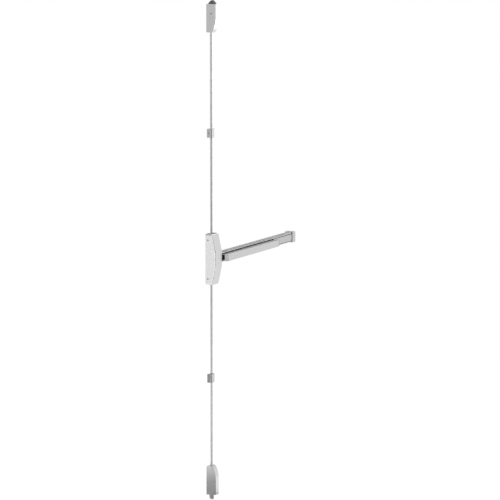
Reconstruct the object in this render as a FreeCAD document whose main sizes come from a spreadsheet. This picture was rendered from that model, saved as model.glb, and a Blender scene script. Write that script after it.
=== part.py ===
import FreeCAD, Part
import math
import os
import re
import Sketcher

# Vertical rod exit device, right hand end away from the centre case.
# X runs along the push rail, Y into the door, Z up. The door face is Y = 0.
# The rods stand on X = 0 and the push bar's centreline is Z = 0.

doc = FreeCAD.newDocument("VerticalRodExitDevice")
sheet = doc.addObject("Spreadsheet::Sheet", "Sizes")

SIZES = (
    # Clearances
    ("run_fit", 0.05),
    ("seat_gap", 0.3),
    ("move_gap", 0.6),
    ("slot_gap", 0.4),
    ("side_gap", 0.5),
    ("plug_gap", 0.1),
    ("cut_over", 1),
    # Door plates and screws
    ("plate_thick", 3),
    ("door_hole", 5.5),
    ("screw_shank", 3.8),
    ("screw_head", 7.2),
    ("screw_rim", 0.9),
    ("screw_dome", 2),
    ("screw_crown", 4.2),
    ("screw_length", 6.5),
    ("tab_thick", 2.5),
    ("pin_step", 1),
    ("pin_head_thick", 1),
    # Centre case
    ("case_width", 61),
    ("case_height", 217),
    ("case_depth", 48.5),
    ("case_end_depth", 31.5),
    ("case_flat_height", 55),
    ("case_wall", 2),
    ("case_corner_round", 9),
    ("case_edge_round", 3.4),
    ("case_crease_round", 8),
    ("case_screw_inset", 26),
    ("case_screw_depth", 12),
    ("case_tab_height", 16),
    ("case_tab_depth", 18),
    ("case_hole_across", 40),
    ("case_hole_inset", 36.5),
    # Rods
    ("rod_diameter", 9.5),
    ("rod_depth", 12.5),
    ("rod_notch", 12),
    ("rod_ear_inset", 46.5),
    ("rod_ear_thick", 3),
    ("rod_ear_width", 22),
    ("rod_ear_depth", 20),
    ("spring_length", 25),
    ("collar_thick", 2.5),
    ("collar_diameter", 14),
    ("spring_inside", 10.4),
    # Bell cranks in the centre case
    ("bar_stroke", 12),
    ("slide_arm", 15),
    ("rod_arm", 20),
    ("slide_pin", 4),
    ("rod_pin", 5),
    ("head_crank_thick", 2.7),
    ("head_crank_back", 18.3),
    ("head_crank_level", 27),
    ("head_post", 6),
    ("head_post_shoulder", 10),
    ("head_post_cap", 1.4),
    ("arm_wall", 2.4),
    # Slide and control link
    ("slide_thick", 3),
    ("slide_height", 34),
    ("slide_tail_height", 16),
    ("slide_wall", 4),
    ("slide_right_wall", 2.5),
    ("stud_across", -2),
    ("stud_diameter", 6),
    ("stud_head", 10),
    ("stud_head_thick", 1.5),
    ("link_low", 2.6),
    ("link_thick", 3),
    ("link_width", 7.5),
    ("tab_high", 2),
    # Rod connectors
    ("connector_width", 16),
    ("connector_back", 7),
    ("connector_foot", 6),
    ("connector_length", 19),
    ("connector_round", 1.5),
    ("thread_start", 5),
    # Push rail
    ("rail_start", 31),
    ("rail_length", 711),
    ("rail_height", 39),
    ("rail_depth", 35),
    ("rail_side_wall", 2.2),
    ("rail_edge_round", 0.8),
    ("rail_opening", 30),
    ("rail_lip_inset", 7),
    ("groove_width", 1.2),
    ("groove_deep", 0.6),
    ("groove_first", 8.5),
    ("groove_step", 8.5),
    ("tongue_height", 24),
    ("tongue_start", 9.5),
    ("tongue_reach", 45),
    ("tongue_round", 3),
    # Rail cranks
    ("crank_near", 140),
    ("crank_far", 455),
    ("crank_depth", 14.5),
    ("bar_arm", 15),
    ("crank_thick", 4),
    ("crank_pin", 5),
    ("crank_hub", 5.5),
    ("crank_arm_wall", 2),
    ("drive_pin", 4),
    ("ear_thick", 2.5),
    ("ear_reach", 6),
    ("bracket_base", 2),
    ("bracket_height", 22),
    ("bracket_tail", 14),
    ("bracket_nose", 8),
    # Push bar
    ("bar_start", 51),
    ("bar_end", 540),
    ("bar_height", 30),
    ("bar_depth", 66),
    ("bar_skirt", 16),
    ("bar_front_wall", 3),
    ("bar_side_wall", 1.5),
    ("bar_round", 3),
    ("bar_cap_thick", 3),
    ("bar_cap_plug", 8),
    ("channel_wall", 2),
    ("channel_back", 28),
    ("yoke_thick", 2.5),
    ("yoke_clear", 6.2),
    ("yoke_width", 16),
    ("yoke_arm_width", 9),
    ("yoke_foot", 3.5),
    # Rail filler and end cap
    ("filler_gap", 5),
    ("filler_proud", 1.2),
    ("filler_end_gap", 1.2),
    ("filler_wall", 2),
    ("cap_over", 12),
    ("cap_length", 30),
    ("cap_height", 48),
    ("cap_depth", 39.5),
    ("cap_wall", 3),
    ("cap_round", 3.5),
    ("cap_relief", 2.5),
    ("cap_relief_long", 6.5),
    ("end_plate_height", 41),
    ("end_tongue", 28),
    ("end_flange_depth", 25),
    ("end_flange_height", 16),
    ("cap_screw_depth", 18),
    ("end_hole_up", 32),
    # Rod guides
    ("guide_upper", 532.5),
    ("guide_lower", -514),
    ("guide_width", 30),
    ("guide_height", 36.5),
    ("guide_depth", 21.5),
    ("guide_wall", 2),
    ("guide_round", 5.5),
    ("guide_tab_height", 12),
    ("guide_tab_depth", 14),
    ("guide_screw_depth", 9),
    ("guide_hole_across", 17),
    ("guide_hole_up", 23),
    ("guide_hole", 4.4),
    ("bush_width", 16),
    ("bush_height", 15),
    ("bush_front", 19),
    ("bush_round", 2.5),
    # Top latch case
    ("top_bottom", 954),
    ("top_height", 118),
    ("top_width", 38),
    ("top_depth", 43.5),
    ("top_straight", 51),
    ("top_arc", 124),
    ("top_wall", 2),
    ("top_round", 3.6),
    ("top_screw_down", 40),
    ("top_screw_depth", 22),
    ("top_side_depth", 27),
    ("top_side_foot", 10),
    ("top_side_rise", 40),
    ("top_shelf_level", 15),
    ("top_shelf_lip", 2),
    ("top_hole_across", 18),
    ("top_hole_up", 65),
    # Top bolt
    ("bolt_swing", 45),
    ("bolt_width", 14),
    ("bolt_pivot_depth", 9),
    ("bolt_pivot_down", 9),
    ("bolt_pivot_pin", 6),
    ("bolt_rise", 15.4),
    ("bolt_deck", 4.5),
    ("bolt_back_gap", 1),
    ("bolt_front_gap", 1.1),
    ("bolt_peak_depth", 16.5),
    ("bolt_peak_flat", 6),
    ("bolt_nose_high", 5),
    ("bolt_nose_low", 2),
    ("bolt_nose_bevel", 4.5),
    ("bolt_foot_wall", 3.5),
    ("bolt_foot_back", 5),
    ("bolt_heel", 2),
    ("bolt_heel_drop", 5),
    ("bolt_edge_round", 0.8),
    ("bolt_drive_pin", 5),
    ("bolt_slot_gap", 0.9),
    ("top_yoke_plate", 2.5),
    ("top_yoke_low", 50),
    ("top_yoke_block", 16),
    ("top_yoke_wall", 1.8),
    ("top_yoke_rear_wall", 3),
    ("top_yoke_lip", 1),
    ("top_yoke_inset", 0.5),
    # Bottom latch case
    ("foot_bottom", -1019.5),
    ("foot_height", 123.5),
    ("foot_back_width", 47),
    ("foot_front_width", 29),
    ("foot_depth", 40),
    ("foot_top_depth", 21),
    ("foot_slope", 46),
    ("foot_arc", 80),
    ("foot_wall", 2),
    ("foot_edge_round", 1.9),
    ("foot_screw_up", 42),
    ("foot_screw_depth", 23),
    ("foot_tab_height", 14),
    ("foot_tab_over", 5),
    ("foot_plate_width", 36),
    ("foot_hole_across", 22),
    ("foot_hole_up", 44),
    ("foot_hole_rise", 83),
    # Bottom bolt
    ("foot_bolt", 19.5),
    ("foot_bolt_reach", 25.5),
    ("foot_bolt_length", 84),
    ("foot_bolt_wide", 48),
    ("foot_bolt_neck", 14.5),
    ("foot_bolt_bevel", 4),
    ("foot_bolt_bore", 10),
    ("foot_guide_width", 26),
    ("foot_guide_height", 18),
    ("foot_guide_front", 25),
    ("foot_guide_round", 3),
)

for row, (alias, number) in enumerate(SIZES, 1):
    sheet.set("A%d" % row, alias.replace("_", " "))
    sheet.set("B%d" % row, str(number))
    sheet.setAlias("B%d" % row, alias)
doc.recompute()

UPRIGHT = FreeCAD.Vector(0, 0, 1)
ALONG = FreeCAD.Vector(1, 0, 0)
INWARD = FreeCAD.Vector(0, 1, 0)


def formula(text):
    """Write each alias of a formula as a cell of the sheet."""
    return re.sub(r"\b[a-z]+(?:_[a-z]+)+\b", lambda found: "Sizes." + found.group(0), str(text))


def value(text):
    """The number that a formula gives."""
    result = sheet.evalExpression(formula(text))
    return float(getattr(result, "Value", result))


def bind(target, name, text):
    """Tie a property of an object to a formula."""
    target.setExpression(name, formula(text))


def minus(text):
    """A formula with its sign changed."""
    return "-(%s)" % text


def sketch_on(body, plane, start):
    """A sketch on an origin plane of its body, lifted along the plane's normal."""
    sketch = body.newObject("Sketcher::SketchObject", body.Name + "_sketch")
    support = next(feature for feature in body.Origin.OriginFeatures if feature.Role == plane)
    sketch.AttachmentSupport = [(support, "")]
    sketch.MapMode = "FlatFace"
    bind(sketch, "AttachmentOffset.Base.z", start)
    return sketch


def pin_point(sketch, geometry, end, point):
    """Hold a point of a sketch at two formulas."""
    for kind, axis, text in (("DistanceX", -2, point[0]), ("DistanceY", -1, point[1])):
        if text == "0":
            sketch.addConstraint(Sketcher.Constraint("PointOnObject", geometry, end, axis))
            continue
        rule = Sketcher.Constraint(kind, -1, 1, geometry, end, value(text))
        index = sketch.addConstraint(rule)
        bind(sketch, "Constraints[%d]" % index, text)


def outline(sketch, points, arcs=()):
    """A closed outline; arcs maps a side's number to its radius, bulging right of its direction."""
    arcs = dict(arcs)
    places = [FreeCAD.Vector(value(x), value(y), 0) for x, y in points]
    ends = []
    for number, place in enumerate(places):
        following = places[(number + 1) % len(places)]
        if number not in arcs:
            index = sketch.addGeometry(Part.LineSegment(place, following))
            ends.append((index, 1, 2))
            continue
        radius = value(arcs[number])
        chord = following - place
        inner = math.sqrt(radius ** 2 - chord.Length ** 2 / 4)
        side = FreeCAD.Vector(-chord.y, chord.x, 0).normalize()
        centre = (place + following) / 2 + side * inner
        first = math.atan2(place.y - centre.y, place.x - centre.x)
        last = math.atan2(following.y - centre.y, following.x - centre.x)
        circle = Part.Circle(centre, UPRIGHT, radius)
        index = sketch.addGeometry(Part.ArcOfCircle(circle, first, last))
        ends.append((index, 1, 2))
        rule = sketch.addConstraint(Sketcher.Constraint("Radius", index, radius))
        bind(sketch, "Constraints[%d]" % rule, arcs[number])
    for number, (index, start, end) in enumerate(ends):
        following = ends[(number + 1) % len(ends)]
        sketch.addConstraint(Sketcher.Constraint("Coincident", index, end, following[0], following[1]))
        pin_point(sketch, index, start, points[number])


def rectangle(sketch, left, right, low, high):
    """A rectangle between four formulas."""
    outline(sketch, ((left, low), (right, low), (right, high), (left, high)))


def disc(sketch, x, y, radius):
    """A circle about a point."""
    circle = Part.Circle(FreeCAD.Vector(value(x), value(y), 0), UPRIGHT, value(radius))
    index = sketch.addGeometry(circle)
    rule = sketch.addConstraint(Sketcher.Constraint("Radius", index, value(radius)))
    bind(sketch, "Constraints[%d]" % rule, radius)
    pin_point(sketch, index, 3, (x, y))


def rounded_slot(sketch, first, last, radius):
    """A slot with round ends between two points on a line along one sketch axis."""
    start = FreeCAD.Vector(value(first[0]), value(first[1]), 0)
    stop = FreeCAD.Vector(value(last[0]), value(last[1]), 0)
    size = value(radius)
    along = (stop - start).normalize()
    side = FreeCAD.Vector(-along.y, along.x, 0) * size
    turn = math.atan2(along.y, along.x)
    circle_one = Part.Circle(start, UPRIGHT, size)
    circle_two = Part.Circle(stop, UPRIGHT, size)
    quarter = math.pi / 2
    one = sketch.addGeometry(Part.ArcOfCircle(circle_one, turn + quarter, turn + 3 * quarter))
    two = sketch.addGeometry(Part.ArcOfCircle(circle_two, turn - quarter, turn + quarter))
    low = sketch.addGeometry(Part.LineSegment(start - side, stop - side))
    high = sketch.addGeometry(Part.LineSegment(stop + side, start + side))
    joints = ((one, 2, low, 1), (low, 2, two, 1), (two, 2, high, 1), (high, 2, one, 1))
    for corner in joints:
        sketch.addConstraint(Sketcher.Constraint("Tangent", *corner))
    pin_point(sketch, one, 3, first)
    pin_point(sketch, two, 3, last)
    rule = sketch.addConstraint(Sketcher.Constraint("Radius", one, size))
    bind(sketch, "Constraints[%d]" % rule, radius)


def new_body(label):
    """An empty body that carries its node's name."""
    body = doc.addObject("PartDesign::Body", label)
    body.Label = label
    return body


def add(body, plane, start, length, draw):
    """Pad the outline that draw makes, from start along the plane's normal."""
    sketch = sketch_on(body, plane, start)
    draw(sketch)
    feature = body.newObject("PartDesign::Pad", body.Name + "_pad")
    feature.Profile = sketch
    bind(feature, "Length", length)
    sketch.Visibility = False
    return feature


def cut(body, plane, start, length, draw):
    """Pocket the outline that draw makes, from start along the plane's normal."""
    sketch = sketch_on(body, plane, start)
    draw(sketch)
    feature = body.newObject("PartDesign::Pocket", body.Name + "_pocket")
    feature.Profile = sketch
    feature.Reversed = True
    bind(feature, "Length", length)
    sketch.Visibility = False
    return feature


def soften(body, radius, wanted, kind="PartDesign::Fillet"):
    """Round, or chamfer, the edges of the body's tip that the test wants."""
    doc.recompute()
    base = body.Tip
    names = []
    for number, edge in enumerate(base.Shape.Edges, 1):
        if wanted(edge):
            names.append("Edge%d" % number)
    feature = body.newObject(kind, body.Name + "_edge")
    feature.Base = (base, names)
    bind(feature, "Radius" if kind.endswith("Fillet") else "Size", radius)
    return feature


def runs_along(edge, axis):
    """Whether an edge is straight and parallel to an axis."""
    if not isinstance(edge.Curve, Part.Line):
        return False
    return abs(abs(edge.Curve.Direction * axis) - 1) < 1e-6


def clear_of_door(edge):
    """Whether no point of an edge is on the door face."""
    return edge.BoundBox.YMax < -1e-3


def near(number, text):
    """Whether a number equals what a formula gives."""
    return abs(number - value(text)) < 1e-3


def place(body, x, y, z, axis=None, angle=None):
    """Set a body's placement from formulas."""
    if axis is not None:
        body.Placement = FreeCAD.Placement(FreeCAD.Vector(), FreeCAD.Rotation(axis, value(angle)))
        bind(body, "Placement.Rotation.Angle", angle)
    bind(body, "Placement.Base.x", x)
    bind(body, "Placement.Base.y", y)
    bind(body, "Placement.Base.z", z)


def turned(label, profile):
    """A round piece turned about its own Z axis from (radius, level) formulas."""
    body = new_body(label)
    sketch = sketch_on(body, "XZ_Plane", "0")
    outline(sketch, profile)
    feature = body.newObject("PartDesign::Revolution", label + "_turn")
    feature.Profile = sketch
    feature.ReferenceAxis = (sketch, ["V_Axis"])
    feature.Angle = 360
    sketch.Visibility = False
    return body


def pan_screw(label):
    """A pan head screw whose head seats on its own XY plane."""
    profile = (
        ("0", minus("screw_length")),
        ("screw_shank / 2", minus("screw_length")),
        ("screw_shank / 2", "0"),
        ("screw_head / 2", "0"),
        ("screw_head / 2", "screw_rim"),
        ("screw_crown / 2", "screw_dome"),
        ("0", "screw_dome"),
    )
    return turned(label, profile)


parts = []


def keep(feature):
    """List a finished sub-part."""
    parts.append(feature)
    return feature


def joined(label, features):
    """Fasteners of one kind that are kept as one sub-part."""
    group = doc.addObject("Part::Compound", label)
    group.Label = label
    group.Links = features
    return keep(group)


# Shared places
ROD_Y = minus("rod_depth")
HALF_SWING = "asin(bar_stroke / 2 / bar_arm)"
HEAD_SWING = "asin(bar_stroke / 2 / slide_arm)"
ROD_STROKE = "(bar_stroke * rod_arm / slide_arm)"
ROD_HOLE = "rod_diameter / 2 + run_fit"
SLIDE_ARM_FLAT = "(slide_arm * cos(%s))" % HEAD_SWING
ROD_ARM_FLAT = "(rod_arm * cos(%s))" % HEAD_SWING
BAR_ARM_FLAT = "(bar_arm * cos(%s))" % HALF_SWING
CRANK_X = ROD_ARM_FLAT
ROD_PIN_Z = "(head_crank_level + %s / 2)" % ROD_STROKE
SLIDE_PIN_X = "(%s - bar_stroke / 2)" % CRANK_X
SLIDE_PIN_Z = "(head_crank_level - %s)" % SLIDE_ARM_FLAT
SLIDE_BACK = "(head_crank_back + head_crank_thick + side_gap)"
CASE_SCREW_Z = "(case_height / 2 - case_screw_inset)"
EAR_Z = "(case_height / 2 - rod_ear_inset)"
SPRING_Z = "(%s + rod_ear_thick)" % EAR_Z
COLLAR_Z = "(%s + spring_length)" % SPRING_Z


# Centre case: base plate with screw tabs and rod ears
BASE_X = "(case_width / 2 - case_wall - seat_gap)"
BASE_Z = "(case_height / 2 - case_wall - seat_gap)"
CORNER_INSIDE = "(case_corner_round - case_wall)"


def base_tabs(sketch):
    for side in (-1, 1):
        for level in (-1, 1):
            middle = "%d * %s" % (level, CASE_SCREW_Z)
            inner = "%d * (%s - tab_thick)" % (side, BASE_X)
            outer = "%d * %s" % (side, BASE_X)
            left, right = (inner, outer) if side > 0 else (outer, inner)
            low = middle + " - case_tab_height / 2"
            high = middle + " + case_tab_height / 2"
            rectangle(sketch, left, right, low, high)


def rod_ears(sketch):
    half = "rod_ear_width / 2"
    rectangle(sketch, minus(half), half, EAR_Z, SPRING_Z)
    rectangle(sketch, minus(half), half, minus(SPRING_Z), minus(EAR_Z))


def four_holes(across, up, radius, level="0"):
    """Holes at the corners of a rectangle."""
    def draw(sketch):
        for side in (-1, 1):
            for step in (-1, 1):
                z = "%s + %d * %s / 2" % (level, step, up)
                disc(sketch, "%d * %s / 2" % (side, across), z, radius)
    return draw


def two_holes(x, up, level, radius):
    """Holes above and below a level."""
    def draw(sketch):
        for step in (-1, 1):
            disc(sketch, x, "%s + %d * %s / 2" % (level, step, up), radius)
    return draw


def case_screw_holes(radius):
    def draw(sketch):
        for level in (-1, 1):
            disc(sketch, "-case_screw_depth", "%d * %s" % (level, CASE_SCREW_Z), radius)
    return draw


base = new_body("head_base_plate")
add(base, "XZ_Plane", "0", "plate_thick",
    lambda s: rectangle(s, minus(BASE_X), BASE_X, minus(BASE_Z), BASE_Z))
soften(base, CORNER_INSIDE, lambda e: runs_along(e, INWARD))
add(base, "XZ_Plane", "0", "case_tab_depth", base_tabs)
add(base, "XZ_Plane", "0", "rod_ear_depth", rod_ears)
cut(base, "XY_Plane", minus("(%s + cut_over)" % SPRING_Z), "2 * (%s + cut_over)" % SPRING_Z,
    lambda s: disc(s, "0", ROD_Y, ROD_HOLE))
cut(base, "YZ_Plane", "-case_width / 2", "case_width",
    case_screw_holes("screw_shank / 2 + run_fit"))
cut(base, "XZ_Plane", "-cut_over", "plate_thick + 2 * cut_over",
    four_holes("case_hole_across", "(case_height - 2 * case_hole_inset)", "door_hole / 2"))
keep(base)


# Centre case: wedge fronted cover with rounded corners, open at the back
def wedge(sketch):
    """Side profile of the cover."""
    half = "case_height / 2"
    tip = "-case_end_depth"
    flat = "case_flat_height / 2"
    outline(sketch, (
        ("0", minus(half)), ("0", half), (tip, half), ("-case_depth", flat),
        ("-case_depth", minus(flat)), (tip, minus(half)),
    ))


def cover_pocket(sketch):
    """Front view of the pocket behind the cover's ends."""
    wide = "(case_width / 2 - case_wall)"
    tall = "(case_height / 2 - case_wall)"
    slim = "(%s - %s)" % (wide, CORNER_INSIDE)
    short = "(%s - %s)" % (tall, CORNER_INSIDE)
    points = (
        (minus(slim), minus(tall)), (slim, minus(tall)), (wide, minus(short)), (wide, short),
        (slim, tall), (minus(slim), tall), (minus(wide), short), (minus(wide), minus(short)),
    )
    outline(sketch, points, dict.fromkeys((1, 3, 5, 7), CORNER_INSIDE))


def wedge_pocket(sketch):
    """Side profile of the pocket behind the cover's deep middle."""
    half = "(case_height / 2 - case_corner_round)"
    shallow = minus("(case_end_depth - case_wall - cut_over)")
    tip = minus("(case_end_depth - case_wall)")
    front = minus("(case_depth - case_wall)")
    flat = "case_flat_height / 2"
    outline(sketch, (
        (shallow, minus(half)), (shallow, half), (tip, half), (front, flat), (front, minus(flat)),
        (tip, minus(half)),
    ))


def rod_way(sketch):
    """A notch for the rod, open to the door."""
    half = "rod_notch / 2"
    points = ((minus(half), "cut_over"), (minus(half), ROD_Y), (half, ROD_Y), (half, "cut_over"))
    rise = "(rod_notch / 2 + run_fit)"
    outline(sketch, points, {1: rise})


cover = new_body("head_cover")
add(cover, "YZ_Plane", "-case_width / 2", "case_width", wedge)
soften(cover, "case_corner_round", lambda e: runs_along(e, INWARD))
soften(cover, "case_crease_round",
       lambda e: runs_along(e, ALONG) and near(e.CenterOfMass.y, "-case_depth"))
soften(cover, "case_edge_round",
       lambda e: clear_of_door(e) and not runs_along(e, INWARD)
       and near(abs(e.CenterOfMass.x), "case_width / 2"))
cut(cover, "XZ_Plane", "-cut_over", "case_end_depth - case_wall + cut_over", cover_pocket)
cut(cover, "YZ_Plane", "-case_width / 2 + case_wall", "case_width - 2 * case_wall", wedge_pocket)
cut(cover, "XY_Plane", "-case_height / 2 - cut_over", "case_height + 2 * cut_over", rod_way)
cut(cover, "YZ_Plane", "case_width / 2 - case_wall - cut_over", "case_wall + 2 * cut_over",
    lambda s: rectangle(s, minus("(rail_depth + seat_gap)"), "cut_over",
                        minus("(rail_height / 2 + seat_gap)"), "rail_height / 2 + seat_gap"))
cut(cover, "YZ_Plane", "-case_width / 2 - cut_over", "case_width + 2 * cut_over",
    case_screw_holes("screw_shank / 2 + seat_gap"))
keep(cover)

for side, side_name, turn in ((-1, "left", -90), (1, "right", 90)):
    pair = []
    for level, level_name in ((1, "upper"), (-1, "lower")):
        screw = pan_screw("head_screw_%s_%s" % (level_name, side_name))
        place(screw, "%d * case_width / 2" % side, "-case_screw_depth",
              "%d * %s" % (level, CASE_SCREW_Z), INWARD, turn)
        pair.append(screw)
    joined("head_screws_" + side_name, pair)


# Posts of the bell cranks and the stud that the slide runs on
for level, name in ((1, "upper"), (-1, "lower")):
    top = "head_crank_back + head_crank_thick + slot_gap / 2"
    post = turned("head_post_" + name, (
        ("0", "plate_thick"),
        ("head_post_shoulder / 2", "plate_thick"),
        ("head_post_shoulder / 2", "head_crank_back - slot_gap / 2"),
        ("head_post / 2", "head_crank_back - slot_gap / 2"),
        ("head_post / 2", top),
        ("head_post_shoulder / 2", top),
        ("head_post_shoulder / 2", top + " + head_post_cap"),
        ("0", top + " + head_post_cap"),
    ))
    place(post, CRANK_X, "0", "%d * head_crank_level" % level, ALONG, 90)
    keep(post)

stud = turned("slide_stud", (
    ("0", "plate_thick"),
    ("stud_diameter / 2 + pin_step", "plate_thick"),
    ("stud_diameter / 2 + pin_step", SLIDE_BACK + " - run_fit"),
    ("stud_diameter / 2", SLIDE_BACK + " - run_fit"),
    ("stud_diameter / 2", SLIDE_BACK + " + slide_thick + run_fit"),
    ("stud_head / 2", SLIDE_BACK + " + slide_thick + run_fit"),
    ("stud_head / 2", SLIDE_BACK + " + slide_thick + stud_head_thick"),
    ("0", SLIDE_BACK + " + slide_thick + stud_head_thick"),
))
place(stud, "stud_across", "0", "0", ALONG, 90)
keep(stud)

for sign, name in ((1, "upper"), (-1, "lower")):
    spring = new_body("rod_spring_" + name)
    low = SPRING_Z if sign > 0 else minus(COLLAR_Z)
    add(spring, "XY_Plane", low, "spring_length", lambda s: disc(s, "0", ROD_Y, "collar_diameter / 2"))
    cut(spring, "XY_Plane", low, "spring_length", lambda s: disc(s, "0", ROD_Y, "spring_inside / 2"))
    keep(spring)


# Bell cranks: an arm across to the rod, an arm along Z to the slide
def head_crank(name, sign):
    crank = new_body("head_crank_" + name)
    back = "head_crank_back"
    thick = "head_crank_thick"
    rod_end = (minus("rod_arm"), "0")
    slide_end = ("0", "%d * slide_arm" % -sign)
    add(crank, "XZ_Plane", back, thick, lambda s: disc(s, "0", "0", "head_post / 2 + arm_wall + pin_step"))
    add(crank, "XZ_Plane", back, thick,
        lambda s: rounded_slot(s, ("0", "0"), rod_end, "rod_pin / 2 + slot_gap + arm_wall"))
    add(crank, "XZ_Plane", back, thick,
        lambda s: rounded_slot(s, ("0", "0"), slide_end, "slide_pin / 2 + slot_gap + arm_wall"))
    cut(crank, "XZ_Plane", back, thick, lambda s: disc(s, "0", "0", "head_post / 2 + run_fit"))
    cut(crank, "XZ_Plane", back, thick,
        lambda s: rounded_slot(s, (minus(ROD_ARM_FLAT), "0"), rod_end, "rod_pin / 2 + slot_gap"))
    cut(crank, "XZ_Plane", back, thick,
        lambda s: rounded_slot(s, ("0", "%d * %s" % (-sign, SLIDE_ARM_FLAT)), slide_end,
                               "slide_pin / 2 + slot_gap"))
    place(crank, CRANK_X, "0", "%d * head_crank_level" % sign, INWARD, "%d * %s" % (sign, HEAD_SWING))
    return keep(crank)


head_crank("upper", 1)
head_crank("lower", -1)


# Slide plate and control link
TAB_LEFT = "(%s - slide_pin / 2 - slide_wall)" % SLIDE_PIN_X
TAB_RIGHT = "(%s + slide_pin / 2 + slide_right_wall)" % SLIDE_PIN_X
LINK_BACK = "(%s + slide_thick)" % SLIDE_BACK
TAIL_END = "(stud_across - bar_stroke - stud_diameter / 2 - slot_gap - slide_wall)"
LINK_PIN_Y = "(crank_depth + %s)" % BAR_ARM_FLAT


def slide_plate(sketch):
    tall = "slide_height / 2"
    tail = "slide_tail_height / 2"
    outline(sketch, (
        (TAIL_END, minus(tail)), (TAB_LEFT, minus(tail)), (TAB_LEFT, minus(tall)),
        (TAB_RIGHT, minus(tall)),
        (TAB_RIGHT, tall), (TAB_LEFT, tall), (TAB_LEFT, tail),
        (TAIL_END, tail),
    ))


def slide_pins(sketch):
    for sign in (-1, 1):
        disc(sketch, SLIDE_PIN_X, "%d * %s" % (sign, SLIDE_PIN_Z), "slide_pin / 2")


slide = new_body("head_slide")
add(slide, "XZ_Plane", SLIDE_BACK, "slide_thick", slide_plate)
add(slide, "XZ_Plane", "head_crank_back - slot_gap", SLIDE_BACK + " - head_crank_back + slot_gap",
    slide_pins)
add(slide, "XY_Plane", "link_low + link_thick", "tab_high",
    lambda s: rectangle(s, TAB_LEFT, TAB_RIGHT, minus(LINK_BACK + " + link_width"), minus(SLIDE_BACK)))
cut(slide, "XZ_Plane", SLIDE_BACK, "slide_thick",
    lambda s: rounded_slot(s, ("stud_across - bar_stroke", "0"), ("stud_across", "0"),
                           "stud_diameter / 2 + slot_gap"))
keep(slide)

link = new_body("control_link")
FAR_PIN_X = "(crank_far - bar_stroke / 2)"
add(link, "XY_Plane", "link_low", "link_thick",
    lambda s: rectangle(s, TAB_LEFT, FAR_PIN_X + " + drive_pin / 2 + slide_wall",
                        minus(LINK_BACK + " + link_width"), minus(LINK_BACK)))


def link_pins(sketch):
    for crank_x in ("crank_near", "crank_far"):
        disc(sketch, crank_x + " - bar_stroke / 2", minus(LINK_PIN_Y), "drive_pin / 2")


add(link, "XY_Plane", "-crank_thick / 2 - move_gap",
    "link_low + link_thick / 2 + crank_thick / 2 + move_gap", link_pins)
keep(link)


# Rods with their connectors, collars and ends
def connector(name, sign):
    block = new_body("rod_connector_" + name)
    half = "connector_width / 2"
    front = "head_crank_back - move_gap"
    foot = "(%s - connector_foot)" % ROD_PIN_Z
    top = "(%s - connector_foot + connector_length)" % ROD_PIN_Z
    low, high = (foot, top) if sign > 0 else (minus(top), minus(foot))
    add(block, "XZ_Plane", "connector_back", front + " - connector_back",
        lambda s: rectangle(s, minus(half), half, low, high))
    add(block, "XZ_Plane", "connector_back",
        "head_crank_back + head_crank_thick + slot_gap / 2 - connector_back",
        lambda s: disc(s, "0", "%d * %s" % (sign, ROD_PIN_Z), "rod_pin / 2"))
    bore = "(%s + thread_start)" % ROD_PIN_Z
    start = bore if sign > 0 else minus(top + " + cut_over")
    cut(block, "XY_Plane", start, top + " + cut_over - " + bore, lambda s: disc(s, "0", ROD_Y, ROD_HOLE))
    soften(block, "connector_round",
           lambda e: runs_along(e, UPRIGHT) and near(abs(e.CenterOfMass.x), half))
    return keep(block)


connector("upper", 1)
connector("lower", -1)

TOP_TOP = "(top_bottom + top_height)"
PIVOT_Z = "(%s - bolt_pivot_down)" % TOP_TOP
YOKE_FOOT = "(%s - top_yoke_low)" % PIVOT_Z
UPPER_ROD_END = "(%s + top_yoke_block - cut_over)" % YOKE_FOOT
FOOT_BOLT_TIP = "(foot_bottom - foot_bolt_reach)"
FOOT_BOLT_TOP = "(%s + foot_bolt_length)" % FOOT_BOLT_TIP
LOWER_ROD_END = "(%s - foot_bolt_bore + cut_over)" % FOOT_BOLT_TOP


def rod(name, sign, end):
    """A plain rod with a turned collar that the spring bears on."""
    start = "%d * (%s + thread_start + run_fit)" % (sign, ROD_PIN_Z)
    near_face = "%d * (%s + run_fit)" % (sign, COLLAR_Z)
    far_face = "%d * (%s + run_fit + collar_thick)" % (sign, COLLAR_Z)
    body = turned("rod_" + name, (
        ("0", start),
        ("rod_diameter / 2", start),
        ("rod_diameter / 2", near_face),
        ("collar_diameter / 2", near_face),
        ("collar_diameter / 2", far_face),
        ("rod_diameter / 2", far_face),
        ("rod_diameter / 2", end),
        ("0", end),
    ))
    place(body, "0", ROD_Y, "0")
    return keep(body)


rod("upper", 1, UPPER_ROD_END)
rod("lower", -1, LOWER_ROD_END)


# Push rail: its lips lie a little inside its mouth
LIP_FRONT = "-(rail_depth - rail_lip_inset)"
LIP_BACK = "-(rail_depth - rail_lip_inset - rail_side_wall)"


def rail_profile(sketch):
    half = "rail_height / 2"
    inner = "(rail_height / 2 - rail_side_wall)"
    lip = "rail_opening / 2"
    front = minus("rail_depth")
    back = minus("plate_thick")
    outline(sketch, (
        ("0", minus(half)), ("0", half), (front, half), (front, inner), (LIP_FRONT, inner),
        (LIP_FRONT, lip), (LIP_BACK, lip), (LIP_BACK, inner), (back, inner), (back, minus(inner)),
        (LIP_BACK, minus(inner)), (LIP_BACK, minus(lip)), (LIP_FRONT, minus(lip)),
        (LIP_FRONT, minus(inner)), (front, minus(inner)), (front, minus(half)),
    ))


def rail_grooves(sketch):
    for sign in (-1, 1):
        for step in range(3):
            front = "-(groove_first + %d * groove_step + groove_width)" % step
            back = "-(groove_first + %d * groove_step)" % step
            inner = "%d * (rail_height / 2 - groove_deep)" % sign
            outer = "%d * (rail_height / 2 + cut_over)" % sign
            low, high = (inner, outer) if sign > 0 else (outer, inner)
            rectangle(sketch, front, back, low, high)


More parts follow.
